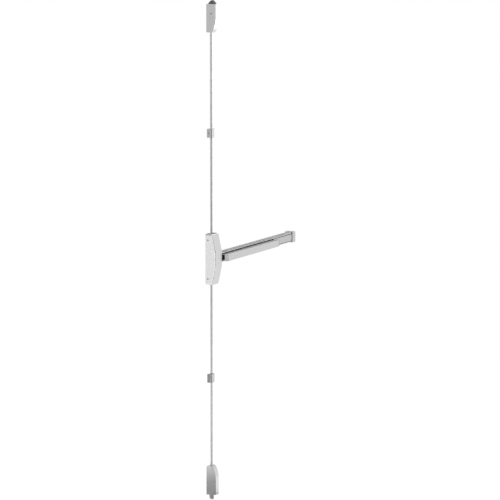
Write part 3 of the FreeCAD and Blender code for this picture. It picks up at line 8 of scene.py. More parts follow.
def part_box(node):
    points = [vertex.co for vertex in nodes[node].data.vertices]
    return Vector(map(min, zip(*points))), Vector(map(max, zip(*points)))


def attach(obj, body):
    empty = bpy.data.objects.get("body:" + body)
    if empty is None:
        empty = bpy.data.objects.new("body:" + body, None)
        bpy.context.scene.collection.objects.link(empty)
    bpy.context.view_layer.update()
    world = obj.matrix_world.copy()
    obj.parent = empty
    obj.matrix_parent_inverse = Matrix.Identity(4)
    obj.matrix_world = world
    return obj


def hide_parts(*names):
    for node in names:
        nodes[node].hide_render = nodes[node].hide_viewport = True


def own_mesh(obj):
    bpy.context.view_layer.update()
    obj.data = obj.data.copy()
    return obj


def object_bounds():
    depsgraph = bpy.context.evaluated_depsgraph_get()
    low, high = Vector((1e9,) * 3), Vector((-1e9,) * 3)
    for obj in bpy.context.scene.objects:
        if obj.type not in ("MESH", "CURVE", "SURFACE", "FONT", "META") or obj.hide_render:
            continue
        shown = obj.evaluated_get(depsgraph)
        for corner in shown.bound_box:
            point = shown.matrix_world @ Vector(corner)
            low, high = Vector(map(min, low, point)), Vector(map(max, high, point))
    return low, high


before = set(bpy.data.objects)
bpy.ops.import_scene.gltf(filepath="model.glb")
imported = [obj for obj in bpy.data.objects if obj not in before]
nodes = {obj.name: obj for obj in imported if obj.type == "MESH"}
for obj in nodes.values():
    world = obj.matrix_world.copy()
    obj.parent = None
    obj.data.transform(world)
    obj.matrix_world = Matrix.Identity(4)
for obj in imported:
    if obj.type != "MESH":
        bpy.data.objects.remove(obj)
cad_low, cad_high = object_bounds()

# Base plates and brackets
# Zinc plated steel pressings that are screwed to the door and carry everything else. The plating is
# pale and a little mottled, with the fine drawn lines of rolled sheet.
ZINC_COLOUR = (0.56, 0.57, 0.59)
ZINC_ROUGHNESS = 0.42
ZINC_CONTRAST = 0.08
SHEET_GRAIN = (900.0, 900.0, 60.0)
LINE_DETAIL = 3.0
LINE_SHARE = 0.5
PATCH_WAVES = 22.0
PATCH_DETAIL = 2.0
SHEEN_SWING = 0.15
SHEEN_FROM = 0.4
SHEEN_TO = 1.1
BUMP_HEIGHT = 0.0001


def rubbed_metal(name, colour, roughness, grain, contrast=0.06, bump=0.12, metallic=1.0):
    """Metal rubbed one way: a noise drawn out along the grain moves colour, roughness and height a little.

    grain is the noise's waves per metre along X, Y and Z. A second, wide noise gives the slow
    change of sheen that hands and cloths leave.
    """
    material = bpy.data.materials.new(name)
    material.use_nodes = True
    tree = material.node_tree
    link = tree.links.new
    shader = tree.nodes["Principled BSDF"]
    shader.inputs["Metallic"].default_value = metallic
    place = tree.nodes.new("ShaderNodeTexCoord")
    stretch = tree.nodes.new("ShaderNodeMapping")
    stretch.inputs["Scale"].default_value = grain
    lines = tree.nodes.new("ShaderNodeTexNoise")
    lines.inputs["Scale"].default_value = 1.0
    lines.inputs["Detail"].default_value = LINE_DETAIL
    patches = tree.nodes.new("ShaderNodeTexNoise")
    patches.inputs["Scale"].default_value = PATCH_WAVES
    patches.inputs["Detail"].default_value = PATCH_DETAIL
    shade = tree.nodes.new("ShaderNodeMix")
    shade.data_type = "RGBA"
    shade.inputs["A"].default_value = (*(c * (1 - contrast) for c in colour), 1.0)
    shade.inputs["B"].default_value = (*(min(c * (1 + contrast), 1.0) for c in colour), 1.0)
    both = tree.nodes.new("ShaderNodeMath")
    both.operation = "MULTIPLY_ADD"
    both.inputs[1].default_value = LINE_SHARE
    sheen = tree.nodes.new("ShaderNodeMapRange")
    sheen.inputs["From Min"].default_value = SHEEN_FROM
    sheen.inputs["From Max"].default_value = SHEEN_TO
    sheen.inputs["To Min"].default_value = roughness * (1 - SHEEN_SWING)
    sheen.inputs["To Max"].default_value = roughness * (1 + SHEEN_SWING)
    height = tree.nodes.new("ShaderNodeBump")
    height.inputs["Strength"].default_value = bump
    height.inputs["Distance"].default_value = BUMP_HEIGHT
    link(place.outputs["Object"], stretch.inputs["Vector"])
    link(stretch.outputs["Vector"], lines.inputs["Vector"])
    link(place.outputs["Object"], patches.inputs["Vector"])
    link(lines.outputs["Fac"], shade.inputs["Factor"])
    link(shade.outputs["Result"], shader.inputs["Base Color"])
    link(lines.outputs["Fac"], both.inputs[0])
    link(patches.outputs["Fac"], both.inputs[2])
    link(both.outputs["Value"], sheen.inputs["Value"])
    link(sheen.outputs["Result"], shader.inputs["Roughness"])
    link(lines.outputs["Fac"], height.inputs["Height"])
    link(height.outputs["Normal"], shader.inputs["Normal"])
    return material


def dress(material, *names):
    """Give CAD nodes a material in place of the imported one."""
    for name in names:
        slots = nodes[name].data.materials
        slots.clear()
        slots.append(material)


zinc = rubbed_metal("zinc_plate", ZINC_COLOUR, ZINC_ROUGHNESS, SHEET_GRAIN, contrast=ZINC_CONTRAST)
dress(zinc, "head_base_plate", "rail_tongue", "crank_bracket_near", "crank_bracket_far", "end_bracket",
      "guide_base_upper", "guide_base_lower", "top_base", "foot_base")

# Cranks, slide, control link and their pins
# Hardened steel stampings, darker than the plates, that turn and slide inside the centre case and
# the rail. Pins and posts are turned bar, brighter at their bearing faces.
STAMPED_COLOUR = (0.36, 0.36, 0.38)
STAMPED_ROUGHNESS = 0.38
TURNED_COLOUR = (0.6, 0.6, 0.61)
TURNED_ROUGHNESS = 0.25
TURNED_GRAIN = (200.0, 200.0, 2400.0)
stamped = rubbed_metal("stamped_steel", STAMPED_COLOUR, STAMPED_ROUGHNESS, SHEET_GRAIN)
turned = rubbed_metal("turned_steel", TURNED_COLOUR, TURNED_ROUGHNESS, TURNED_GRAIN)
dress(stamped, "head_crank_upper", "head_crank_lower", "head_slide", "control_link", "rail_crank_near",
      "rail_crank_far", "drive_yoke_near", "drive_yoke_far", "rod_connector_upper",
      "rod_connector_lower", "top_yoke")
dress(turned, "head_post_upper", "head_post_lower", "slide_stud", "crank_pin_near", "crank_pin_far",
      "drive_pin_near", "drive_pin_far", "top_pivot_pin")

# Rod springs
# Round wire coiled around each rod between the case's ear and the rod's collar. They press the
# rods outwards and close up as the rods are drawn in; here each coil is one fixed shape on the frame.
SPRING_COLOUR = (0.33, 0.33, 0.35)
SPRING_ROUGHNESS = 0.3
SPRING_TURNS = 6.5
SPRING_WIRE = 0.0014
SPRING_CLOSED_ENDS = 0.6
SPRING_SIDES = 12
SPRING_STEPS_A_TURN = 28


def new_object(name, points, faces):
    """An object at the origin with a mesh of its own."""
    mesh = bpy.data.meshes.new(name)
    mesh.from_pydata(points, [], faces)
    piece = bpy.data.objects.new(name, mesh)
    bpy.context.scene.collection.objects.link(piece)
    return piece


def ring_mesh(name, rings, first_pole, last_pole):
    """A skin over rings of points: quads join ring to ring, and triangles close each end at its pole."""
    count, around = rings.shape[:2]
    ring = np.arange(count * around).reshape(count, around)
    following = np.roll(ring, -1, axis=1)
    quads = np.stack((ring[:-1], following[:-1], following[1:], ring[1:]), axis=-1)
    first_tip = np.full(around, ring.size)
    last_tip = first_tip + 1
    faces = quads.reshape(-1, 4).tolist()
    faces += np.stack((following[0], ring[0], first_tip), axis=-1).tolist()
    faces += np.stack((ring[-1], following[-1], last_tip), axis=-1).tolist()
    points = np.vstack((rings.reshape(-1, 3), first_pole, last_pole))
    piece = new_object(name, points.tolist(), faces)
    piece.data.shade_smooth()
    return piece


def coil(low, high):
    """A round wire carried along a helix between two corners.

    The helix is (R cos t, R sin t, z0 + rise (s - e sin(2 pi s) / (2 pi))), where s is the share of
    the turns and e closes up the turns at both ends. At each step the wire's circle lies in the
    plane of the outward radius and the binormal, which is square to the helix.
    """
    middle = (np.array(low) + np.array(high)) / 2
    radius = (high[0] - low[0]) / 2 - SPRING_WIRE / 2
    rise = high[2] - low[2] - SPRING_WIRE
    steps = int(SPRING_TURNS * SPRING_STEPS_A_TURN)
    turn = np.linspace(0, SPRING_TURNS * 2 * math.pi, steps)
    share = turn / turn[-1]
    closing = np.sin(2 * math.pi * share) / (2 * math.pi) * SPRING_CLOSED_ENDS
    level = low[2] + SPRING_WIRE / 2 + rise * (share - closing)
    centre = np.stack((middle[0] + radius * np.cos(turn), middle[1] + radius * np.sin(turn), level), axis=-1)
    along = np.gradient(centre, axis=0)
    along /= np.linalg.norm(along, axis=1, keepdims=True)
    outward = np.stack((np.cos(turn), np.sin(turn), np.zeros(steps)), axis=-1)
    binormal = np.cross(along, outward)
    angle = np.linspace(0, 2 * math.pi, SPRING_SIDES, endpoint=False)[None, :, None]
    circle = outward[:, None] * np.cos(angle) + binormal[:, None] * np.sin(angle)
    rings = centre[:, None] + circle * SPRING_WIRE / 2
    return rings, centre[0], centre[-1]


spring_wire = rubbed_metal("spring_wire", SPRING_COLOUR, SPRING_ROUGHNESS, SHEET_GRAIN)
for end, joint, foot in (("upper", "upper_rod_slide", 0), ("lower", "lower_rod_slide", 1)):
    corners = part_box("rod_spring_" + end)
    spring = ring_mesh("coil_spring_" + end, *coil(*corners))
    spring.data.materials.append(spring_wire)
    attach(spring, "frame")
    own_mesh(spring)
    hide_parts("rod_spring_" + end)

# Centre case cover
# A pressed cover with a wedge shaped front, finished in a fine grained silver coat that is close
# to satin. It is the palest piece of the device.
CASE_COLOUR = (0.84, 0.84, 0.845)
CASE_ROUGHNESS = 0.15
CASE_GRAIN = (300.0, 300.0, 300.0)
CASE_CONTRAST = 0.01
CASE_METALLIC = 0.6
case_coat = rubbed_metal("silver_coat", CASE_COLOUR, CASE_ROUGHNESS, CASE_GRAIN,
                         contrast=CASE_CONTRAST, bump=0.0, metallic=CASE_METALLIC)
dress(case_coat, "head_cover")

# Cover screws
# Pan head screws with a cross recess, one turned shape for the whole device. Each sits on its
# cover's side with its shank in the tab behind.
SCREW_COLOUR = (0.45, 0.45, 0.46)
SCREW_ROUGHNESS = 0.38
SCREW_GRAIN = (1500.0, 1500.0, 1500.0)
SCREW_HEAD = 0.0036
SCREW_RIM = 0.0009
SCREW_RIM_BEVEL = 0.03
SCREW_CROWN = 0.0021
SCREW_CROWN_END = 0.02
SCREW_CROWN_RINGS = 40
SCREW_SHANK = 0.0019
SCREW_SHANK_TIP = 0.7
SCREW_SHANK_BEVEL = 0.3
SCREW_LENGTH = 0.0065
SCREW_AROUND = 96
CROSS_REACH = 0.0021
CROSS_WIDTH = 0.00095
CROSS_DEPTH = 0.0013
CROSS_SLOPE = 0.00025


def screw_rings():
    """Rings of a pan head screw about +Z, seated on Z = 0.

    The crown falls with the square of the radius. The recess is a cross: the nearer of two bars'
    distances, turned into a depth by a smooth step.
    """
    angle = np.linspace(0, 2 * math.pi, SCREW_AROUND, endpoint=False)
    shank_radius = (SCREW_SHANK * SCREW_SHANK_TIP, SCREW_SHANK, SCREW_SHANK,
                    SCREW_HEAD * (1 - SCREW_RIM_BEVEL), SCREW_HEAD)
    shank_level = (-SCREW_LENGTH, -SCREW_LENGTH + SCREW_SHANK * SCREW_SHANK_BEVEL, 0.0,
                   0.0, SCREW_HEAD * SCREW_RIM_BEVEL)
    crown_radius = np.linspace(SCREW_HEAD, SCREW_HEAD * SCREW_CROWN_END, SCREW_CROWN_RINGS)
    crown_level = SCREW_RIM + (SCREW_CROWN - SCREW_RIM) * (1 - (crown_radius / SCREW_HEAD) ** 2)
    radius = np.concatenate((shank_radius, crown_radius))
    level = np.concatenate((shank_level, crown_level))
    x = radius[:, None] * np.cos(angle)
    y = radius[:, None] * np.sin(angle)
    first = np.maximum(np.abs(x) - CROSS_WIDTH / 2, np.abs(y) - CROSS_REACH)
    second = np.maximum(np.abs(y) - CROSS_WIDTH / 2, np.abs(x) - CROSS_REACH)
    inside = np.clip(0.5 - np.minimum(first, second) / CROSS_SLOPE, 0, 1)
    depth = CROSS_DEPTH * inside ** 2 * (3 - 2 * inside)
    depth[:len(shank_radius)] = 0
    return np.stack((x, y, level[:, None] - depth), axis=-1)


def screws(name, seats, replaced, material):
    """One piece for the screws of a cover: each seat is a point and the way its head faces."""
    rings = screw_rings()
    joined = []
    for number, (seat, facing) in enumerate(seats):
        turn = np.array(Vector(facing).to_track_quat("Z", "X").to_matrix())
        placed = rings @ turn.T + np.array(seat)
        tip = turn @ np.array((0, 0, -SCREW_LENGTH)) + np.array(seat)
        floor = placed[-1].mean(axis=0)
        joined.append(ring_mesh("%s_%d" % (name, number), placed, tip, floor))
    whole = joined[0]
    if len(joined) > 1:
        with bpy.context.temp_override(active_object=whole, selected_editable_objects=joined):
            bpy.ops.object.join()
    whole.name = name
    whole.data.materials.append(material)
    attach(whole, "frame")
    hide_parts(replaced)


def middle_of(node):
    """The middle of a node's box along X, Y and Z."""
    return [(least + most) / 2 for least, most in zip(*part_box(node))]


def side_seats(cover, packed_screws):
    """A seat on each side of a cover, at the depth and the height of its packed screws."""
    low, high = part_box(cover)
    depth, level = middle_of(packed_screws)[1:]
    return ((low[0], depth, level), (-1, 0, 0)), ((high[0], depth, level), (1, 0, 0))


screw_steel = rubbed_metal("screw_steel", SCREW_COLOUR, SCREW_ROUGHNESS, SCREW_GRAIN)
for side, facing in (("left", -1), ("right", 1)):
    low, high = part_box("head_screws_" + side)
    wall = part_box("head_cover")[0 if facing < 0 else 1][0]
    depth = middle_of("head_screws_" + side)[1]
    seats = [((wall, depth, level), (facing, 0, 0)) for level in (low[2] + SCREW_HEAD, high[2] - SCREW_HEAD)]
    screws("case_screws_" + side, seats, "head_screws_" + side, screw_steel)

# Rods
# Cold drawn bar, 9.5 mm across, dull from the die with faint lines along its length. Each rod runs
# from its connector in the centre case through a guide to its latch.
ROD_COLOUR = (0.7, 0.7, 0.705)
ROD_ROUGHNESS = 0.5
ROD_GRAIN = (1800.0, 1800.0, 4.0)
ROD_CONTRAST = 0.03
ROD_BUMP = 0.05
drawn_bar = rubbed_metal("drawn_bar", ROD_COLOUR, ROD_ROUGHNESS, ROD_GRAIN,
                         contrast=ROD_CONTRAST, bump=ROD_BUMP)
dress(drawn_bar, "rod_upper", "rod_lower")

# Rod guides
# A small pressed box over a nylon bush that keeps the rod off the door. The box is brushed from
# top to bottom and has rounded front corners.
GUIDE_COLOUR = (0.6, 0.6, 0.605)
GUIDE_ROUGHNESS = 0.14
GUIDE_GRAIN = (1600.0, 1600.0, 30.0)
GUIDE_BUMP = 0.05
NYLON_COLOUR = (0.78, 0.77, 0.73)
NYLON_ROUGHNESS = 0.5
NYLON_GRAIN = (400.0, 400.0, 400.0)
NYLON_CONTRAST = 0.04
guide_metal = rubbed_metal("guide_metal", GUIDE_COLOUR, GUIDE_ROUGHNESS, GUIDE_GRAIN, bump=GUIDE_BUMP)
nylon = rubbed_metal("natural_nylon", NYLON_COLOUR, NYLON_ROUGHNESS, NYLON_GRAIN,
                     contrast=NYLON_CONTRAST, metallic=0.0)
for end in ("upper", "lower"):
    dress(guide_metal, "guide_cover_" + end)
    dress(nylon, "guide_bush_" + end)
    seats = side_seats("guide_cover_" + end, "guide_screws_" + end)
    screws("guide_pan_screws_" + end, seats, "guide_screws_" + end, screw_steel)

# Top latch
# A satin cover that curves back to the rod at its foot, over a pivoted bolt of dark hardened
# steel. The bolt's bevelled nose stands out of the cover's open top.
LATCH_COLOUR = (0.65, 0.65, 0.655)
LATCH_ROUGHNESS = 0.22
LATCH_GRAIN = (1600.0, 1600.0, 24.0)
LATCH_BUMP = 0.06
BOLT_COLOUR = (0.13, 0.13, 0.135)
BOLT_ROUGHNESS = 0.4
BOLT_GRAIN = (900.0, 900.0, 300.0)
BOLT_CONTRAST = 0.12
latch_metal = rubbed_metal("latch_metal", LATCH_COLOUR, LATCH_ROUGHNESS, LATCH_GRAIN, bump=LATCH_BUMP)
bolt_metal = rubbed_metal("hardened_bolt", BOLT_COLOUR, BOLT_ROUGHNESS, BOLT_GRAIN, contrast=BOLT_CONTRAST)
dress(latch_metal, "top_cover", "foot_cover")
dress(bolt_metal, "top_bolt")
screws("top_pan_screws", side_seats("top_cover", "top_screws"), "top_screws", screw_steel)

# Bottom latch
# The same satin cover, tapered to the front and arched at its head, over a round bolt that drops
# into the floor and its nylon guide. Its screws have the cover's finish.
FOOT_FRONT_WIDTH = 0.029
FOOT_SCREW_DEPTH = 0.023
ROUND_BOLT_COLOUR = (0.73, 0.73, 0.735)
ROUND_BOLT_ROUGHNESS = 0.3
ROUND_BOLT_NOSE_WIDE = 0.005
ROUND_BOLT_NOSE_HIGH = 0.006
ROUND_BOLT_SHOULDER = 0.048
ROUND_BOLT_NECK = 0.00725
ROUND_BOLT_BORE = 0.0048
ROUND_BOLT_BORE_DEEP = 0.01
ROUND_BOLT_EDGE = 0.0005
ROUND_BOLT_QUARTER = 13
ROUND_BOLT_AROUND = 96


def bolt_rings(tip, radius, top):
    """Rings of the round bolt about Z, from its nose up to its neck and down into the rod's bore.

    The nose is a quarter of an ellipse: the radius grows with the sine and the level with one
    less the cosine of the same angle. The edges above it are small quarter circles.
    """
    quarter = np.linspace(0, math.pi / 2, ROUND_BOLT_QUARTER)
    growing = 1 - np.sin(quarter)
    falling = 1 - np.cos(quarter)
    shoulder = tip + ROUND_BOLT_SHOULDER
    reach = np.concatenate((
        radius - ROUND_BOLT_NOSE_WIDE * growing, radius - ROUND_BOLT_EDGE * falling,
        (ROUND_BOLT_NECK,), ROUND_BOLT_NECK - ROUND_BOLT_EDGE * falling, (ROUND_BOLT_BORE, ROUND_BOLT_BORE)))
    level = np.concatenate((
        tip + ROUND_BOLT_NOSE_HIGH * falling, shoulder - ROUND_BOLT_EDGE * growing,
        (shoulder,), top - ROUND_BOLT_EDGE * growing, (top, top - ROUND_BOLT_BORE_DEEP)))
    angle = np.linspace(0, 2 * math.pi, ROUND_BOLT_AROUND, endpoint=False)
    x = reach[:, None] * np.cos(angle)
    y = reach[:, None] * np.sin(angle)
    return np.stack((x, y, np.broadcast_to(level[:, None], x.shape)), axis=-1)


round_bolt = rubbed_metal("round_bolt", ROUND_BOLT_COLOUR, ROUND_BOLT_ROUGHNESS, TURNED_GRAIN)
low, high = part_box("bottom_bolt")
centre = np.array((*middle_of("bottom_bolt")[:2], 0))
rings = bolt_rings(low[2], (high[0] - low[0]) / 2, high[2]) + centre
bore_floor = high[2] - ROUND_BOLT_BORE_DEEP
floor_bolt = ring_mesh("floor_bolt", rings, centre + (0, 0, low[2]), centre + (0, 0, bore_floor))
floor_bolt.data.materials.append(round_bolt)
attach(floor_bolt, "lower_rod_body")
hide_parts("bottom_bolt")
dress(nylon, "foot_bolt_guide")
low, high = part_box("foot_cover")
slope = ((high[0] - low[0]) - FOOT_FRONT_WIDTH) / 2 / (high[1] - low[1])
slant = math.atan(slope)
depth = high[1] - FOOT_SCREW_DEPTH
level = middle_of("foot_screws")[2]
seats = []
for side in (-1, 1):
    across = side * ((high[0] - low[0]) / 2 + slope * depth)
    seats.append(((across, depth, level), (side * math.cos(slant), -math.sin(slant), 0)))
screws("foot_pan_screws", seats, "foot_screws", latch_metal)

# Push rail and filler
# A clear anodised extrusion with three fine grooves along its top and underside. Inside its mouth
# it is painted a darker grey, a painted shade, and made rougher; where the end cap covers it, it is
# painted near black, a painted shadow. The filler closes its mouth beyond the push bar.
RAIL_COLOUR = (0.86, 0.86, 0.865)
FILLER_COLOUR = (0.63, 0.63, 0.635)
RAIL_ROUGHNESS = 0.28
EXTRUSION_GRAIN = (10.0, 1500.0, 1500.0)
EXTRUSION_FINISH = {"contrast": 0.03, "bump": 0.02}
RAIL_WALL = 0.0022
# Painted shade: a darker grey for the inside of the rail's mouth, where shade falls.
MOUTH_PAINTED_SHADE = (0.4, 0.4, 0.402, 1)
MOUTH_MARGIN = 0.0001
RAW_ROUGHNESS = 0.7
# Painted shadow: near black for the rail where the end cap covers it and for the cap's inside.
CAP_PAINTED_SHADOW = (0.03, 0.03, 0.032, 1)
CAP_SHADE = 0.004
OUTSIDE = 1.0


def paint_shade_inside(material, low, high, colour):
    """Paint shade inside a box, in metres along X, Y and Z: there the colour is darkened to stand in for
    shade, and the roughness rises.

    Each side of the box is a test of one coordinate, and their product picks the painted shade colour.
    """
    tree = material.node_tree
    link = tree.links.new
    shader = tree.nodes["Principled BSDF"]
    place = tree.nodes.new("ShaderNodeTexCoord")
    split = tree.nodes.new("ShaderNodeSeparateXYZ")
    link(place.outputs["Object"], split.inputs["Vector"])
    inside = None
    for axis in range(3):
        for limit, test in ((low[axis], "GREATER_THAN"), (high[axis], "LESS_THAN")):
            step = tree.nodes.new("ShaderNodeMath")
            step.operation = test
            step.inputs[1].default_value = limit
            link(split.outputs[axis], step.inputs[0])
            if inside is not None:
                both = tree.nodes.new("ShaderNodeMath")
                both.operation = "MULTIPLY"
                link(inside, both.inputs[0])
                link(step.outputs["Value"], both.inputs[1])
                step = both
            inside = step.outputs["Value"]
    # Inside the box the colour is the painted shade, and the roughness is RAW_ROUGHNESS.
    for kind, socket, raw in (("RGBA", "Base Color", colour), ("FLOAT", "Roughness", RAW_ROUGHNESS)):
        blend = tree.nodes.new("ShaderNodeMix")
        blend.data_type = kind
        finished = shader.inputs[socket].links[0].from_socket
        sides = [entry for entry in blend.inputs if entry.enabled and entry.name in "AB"]
        sides[1].default_value = raw
        link(inside, blend.inputs[0])
        link(finished, sides[0])
        result = next(entry for entry in blend.outputs if entry.enabled)
        link(result, shader.inputs[socket])


extrusion = rubbed_metal("clear_anodised", RAIL_COLOUR, RAIL_ROUGHNESS, EXTRUSION_GRAIN, **EXTRUSION_FINISH)
dress(extrusion, "rail_housing")
filler_metal = rubbed_metal("filler_metal", FILLER_COLOUR, RAIL_ROUGHNESS, EXTRUSION_GRAIN,
                            **EXTRUSION_FINISH)
dress(filler_metal, "filler_plate")
low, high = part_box("rail_housing")
mouth = high[2] - RAIL_WALL + MOUTH_MARGIN
# Painted shade: the inside of the rail's mouth is painted a darker grey.
paint_shade_inside(extrusion, (low[0] - OUTSIDE, low[1] - OUTSIDE, -mouth),
           (high[0] + OUTSIDE, high[1] - RAIL_WALL, mouth), MOUTH_PAINTED_SHADE)
# Painted shadow: the rail is painted near black within its mouth's height, from just short of the end cap to
# its end.
cap_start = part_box("end_cap")[0][0]
paint_shade_inside(extrusion, (cap_start - CAP_SHADE, low[1] - OUTSIDE, -mouth),
           (high[0] + OUTSIDE, high[1], mouth), CAP_PAINTED_SHADOW)

# Push bar
# A satin skin on a dark grey channel, closed by grey moulded ends. The whole bar is pressed
# towards the door.
BAR_COLOUR = (0.72, 0.72, 0.725)
BAR_ROUGHNESS = 0.26
CHANNEL_COLOUR = (0.4, 0.4, 0.402)
CHANNEL_ROUGHNESS = 0.45
MOULDING_COLOUR = (0.42, 0.42, 0.43)
MOULDING_ROUGHNESS = 0.5
MOULDING_GRAIN = (500.0, 500.0, 500.0)
bar_metal = rubbed_metal("bar_metal", BAR_COLOUR, BAR_ROUGHNESS, EXTRUSION_GRAIN, **EXTRUSION_FINISH)
dark_channel = rubbed_metal("dark_channel", CHANNEL_COLOUR, CHANNEL_ROUGHNESS, EXTRUSION_GRAIN, metallic=0.0)
grey_moulding = rubbed_metal("grey_moulding", MOULDING_COLOUR, MOULDING_ROUGHNESS, MOULDING_GRAIN,
                             metallic=0.0)
dress(bar_metal, "push_bar_skin")
dress(dark_channel, "push_bar_channel")
dress(grey_moulding, "push_bar_end_left", "push_bar_end_right")

# End cap
# A die cast cap in grey metallic paint over the rail's end and its bracket, held by one screw. Its
# inside is painted near black, a painted shadow.
CAP_COLOUR = (0.74, 0.74, 0.75)
CAP_ROUGHNESS = 0.36
CAP_GRAIN = (900.0, 900.0, 900.0)
CAP_CONTRAST = 0.04
CAP_METALLIC = 0.7
CAP_RIM = 0.0002
CAP_SKIN = 0.0012
cap_paint = rubbed_metal("cap_paint", CAP_COLOUR, CAP_ROUGHNESS, CAP_GRAIN,
                         contrast=CAP_CONTRAST, metallic=CAP_METALLIC)
dress(cap_paint, "end_cap")
low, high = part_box("end_cap")
# Painted shadow: the cap's inside is painted near black.
paint_shade_inside(cap_paint, (low[0] + CAP_RIM, low[1] + CAP_SKIN, low[2] + CAP_SKIN),
           (high[0] - CAP_SKIN, high[1], high[2] - CAP_SKIN), CAP_PAINTED_SHADOW)
seat = (high[0], *middle_of("end_cap_screw")[1:])
screws("end_cap_pan_screw", ((seat, (1, 0, 0)),), "end_cap_screw", screw_steel)

# Studio
# A long lens at the left and a little above looks down on the push bar's height. A pale floor lies
# just under the bottom bolt, two soft lamps light the device, and boards and cards give the metal
# its bright and dark reflections.
VIEW_AZIMUTH = math.radians(-63.0)
VIEW_PITCH = math.radians(8.5)
VIEW_ROLL = math.radians(0.07)
VIEW_DISTANCE = 9.72
VIEW_FOCAL_PIXELS = 2300.0
VIEW_CLIP_END = 60.0
PHOTO_SIDE = 500.0
SENSOR = 36.0
ROD_PIXEL = (211.35, 258.7)
ROD_POINT = Vector((0, -0.0125, 0))

towards = Vector((math.sin(VIEW_AZIMUTH) * math.cos(VIEW_PITCH),
                  -math.cos(VIEW_AZIMUTH) * math.cos(VIEW_PITCH), math.sin(VIEW_PITCH)))
level = Vector((math.cos(VIEW_AZIMUTH), math.sin(VIEW_AZIMUTH), 0))
plumb = towards.cross(level)
rightward = level * math.cos(VIEW_ROLL) + plumb * math.sin(VIEW_ROLL)
upward = plumb * math.cos(VIEW_ROLL) - level * math.sin(VIEW_ROLL)
metres_a_pixel = VIEW_DISTANCE / VIEW_FOCAL_PIXELS
aside = (ROD_PIXEL[0] - PHOTO_SIDE / 2) * metres_a_pixel
above = (PHOTO_SIDE / 2 - ROD_PIXEL[1]) * metres_a_pixel
camera_data = bpy.data.cameras.new("photo_camera")
camera_data.sensor_width = SENSOR
camera_data.lens = VIEW_FOCAL_PIXELS / PHOTO_SIDE * SENSOR
camera_data.clip_end = VIEW_CLIP_END
camera = bpy.data.objects.new("photo_camera", camera_data)
bpy.context.scene.collection.objects.link(camera)
axes = Matrix((rightward, upward, towards)).transposed()
stand = ROD_POINT + towards * VIEW_DISTANCE - rightward * aside - upward * above
camera.matrix_world = Matrix.Translation(stand) @ axes.to_4x4()
bpy.context.scene.camera = camera
bpy.context.scene.view_settings.view_transform = "Standard"


def white_for_eye_and_gloss(tree):
    """1 where the camera, a reflection or a view through glass meets the surface, otherwise 0."""
    path = tree.nodes.new("ShaderNodeLightPath")
    seen = path.outputs["Is Camera Ray"]
    for kind in ("Is Glossy Ray", "Is Transmission Ray"):
        either = tree.nodes.new("ShaderNodeMath")
        either.operation = "MAXIMUM"
        tree.links.new(seen, either.inputs[0])
        tree.links.new(path.outputs[kind], either.inputs[1])
        seen = either.outputs["Value"]
    return seen


WORLD_FILL = 0.3
WHITE = (1, 1, 1, 1)
world = bpy.data.worlds.new("studio")
bpy.context.scene.world = world
world.use_nodes = True
tree = world.node_tree
tree.nodes.clear()
white = tree.nodes.new("ShaderNodeBackground")
white.inputs["Color"].default_value = WHITE
fill = tree.nodes.new("ShaderNodeBackground")
fill.inputs["Color"].default_value = WHITE
fill.inputs["Strength"].default_value = WORLD_FILL
blend = tree.nodes.new("ShaderNodeMixShader")
output = tree.nodes.new("ShaderNodeOutputWorld")
tree.links.new(white_for_eye_and_gloss(tree), blend.inputs["Fac"])
tree.links.new(fill.outputs[0], blend.inputs[1])
tree.links.new(white.outputs[0], blend.inputs[2])
tree.links.new(blend.outputs[0], output.inputs["Surface"])

FLOOR_GAP = 0.002
FLOOR_LEVEL = cad_low[2] - FLOOR_GAP
FLOOR_SIDE = 24.0
FLOOR_COLOUR = (0.85, 0.85, 0.85, 1)
FLOOR_ROUGHNESS = 0.9
FLOOR_WHITENESS = 0.94
FLOOR_GLOW = 1.05
CARD_LIFT = 0.001


def stage_sheet(name, corners):
    """A flat sheet of the studio with four corners."""
    sheet = new_object(name, corners, [(0, 1, 2, 3)])
    return sheet


def flat_panel(name, centre, facing, width, height):
    """A rectangle about a centre, square to the way that it faces, with its height upright."""
    normal = Vector(facing).normalized()
    level = Vector((0, 0, 1)).cross(normal)
    if not level.length:
        level = Vector((1, 0, 0))
    level.normalize()
    along = level * width / 2
    upright = normal.cross(level) * height / 2
    signs = ((-1, -1), (1, -1), (1, 1), (-1, 1))
    return stage_sheet(name, [tuple(Vector(centre) + along * a + upright * b) for a, b in signs])


floor = flat_panel("floor", (0, 0, FLOOR_LEVEL), (0, 0, 1), FLOOR_SIDE, FLOOR_SIDE)
floor_paint = bpy.data.materials.new("floor_paint")
floor_paint.use_nodes = True
floor_paint.cycles.emission_sampling = "NONE"
tree = floor_paint.node_tree
shader = tree.nodes["Principled BSDF"]
shader.inputs["Base Color"].default_value = FLOOR_COLOUR
shader.inputs["Roughness"].default_value = FLOOR_ROUGHNESS
shader.inputs["Specular IOR Level"].default_value = 0.0
glow = tree.nodes.new("ShaderNodeEmission")
glow.inputs["Strength"].default_value = FLOOR_GLOW
share = tree.nodes.new("ShaderNodeMath")
share.operation = "MULTIPLY"
share.inputs[1].default_value = FLOOR_WHITENESS
mixed = tree.nodes.new("ShaderNodeMixShader")
tree.links.new(white_for_eye_and_gloss(tree), share.inputs[0])
tree.links.new(share.outputs["Value"], mixed.inputs["Fac"])
tree.links.new(shader.outputs[0], mixed.inputs[1])
tree.links.new(glow.outputs[0], mixed.inputs[2])
tree.links.new(mixed.outputs[0], tree.nodes["Material Output"].inputs["Surface"])
floor.data.materials.append(floor_paint)


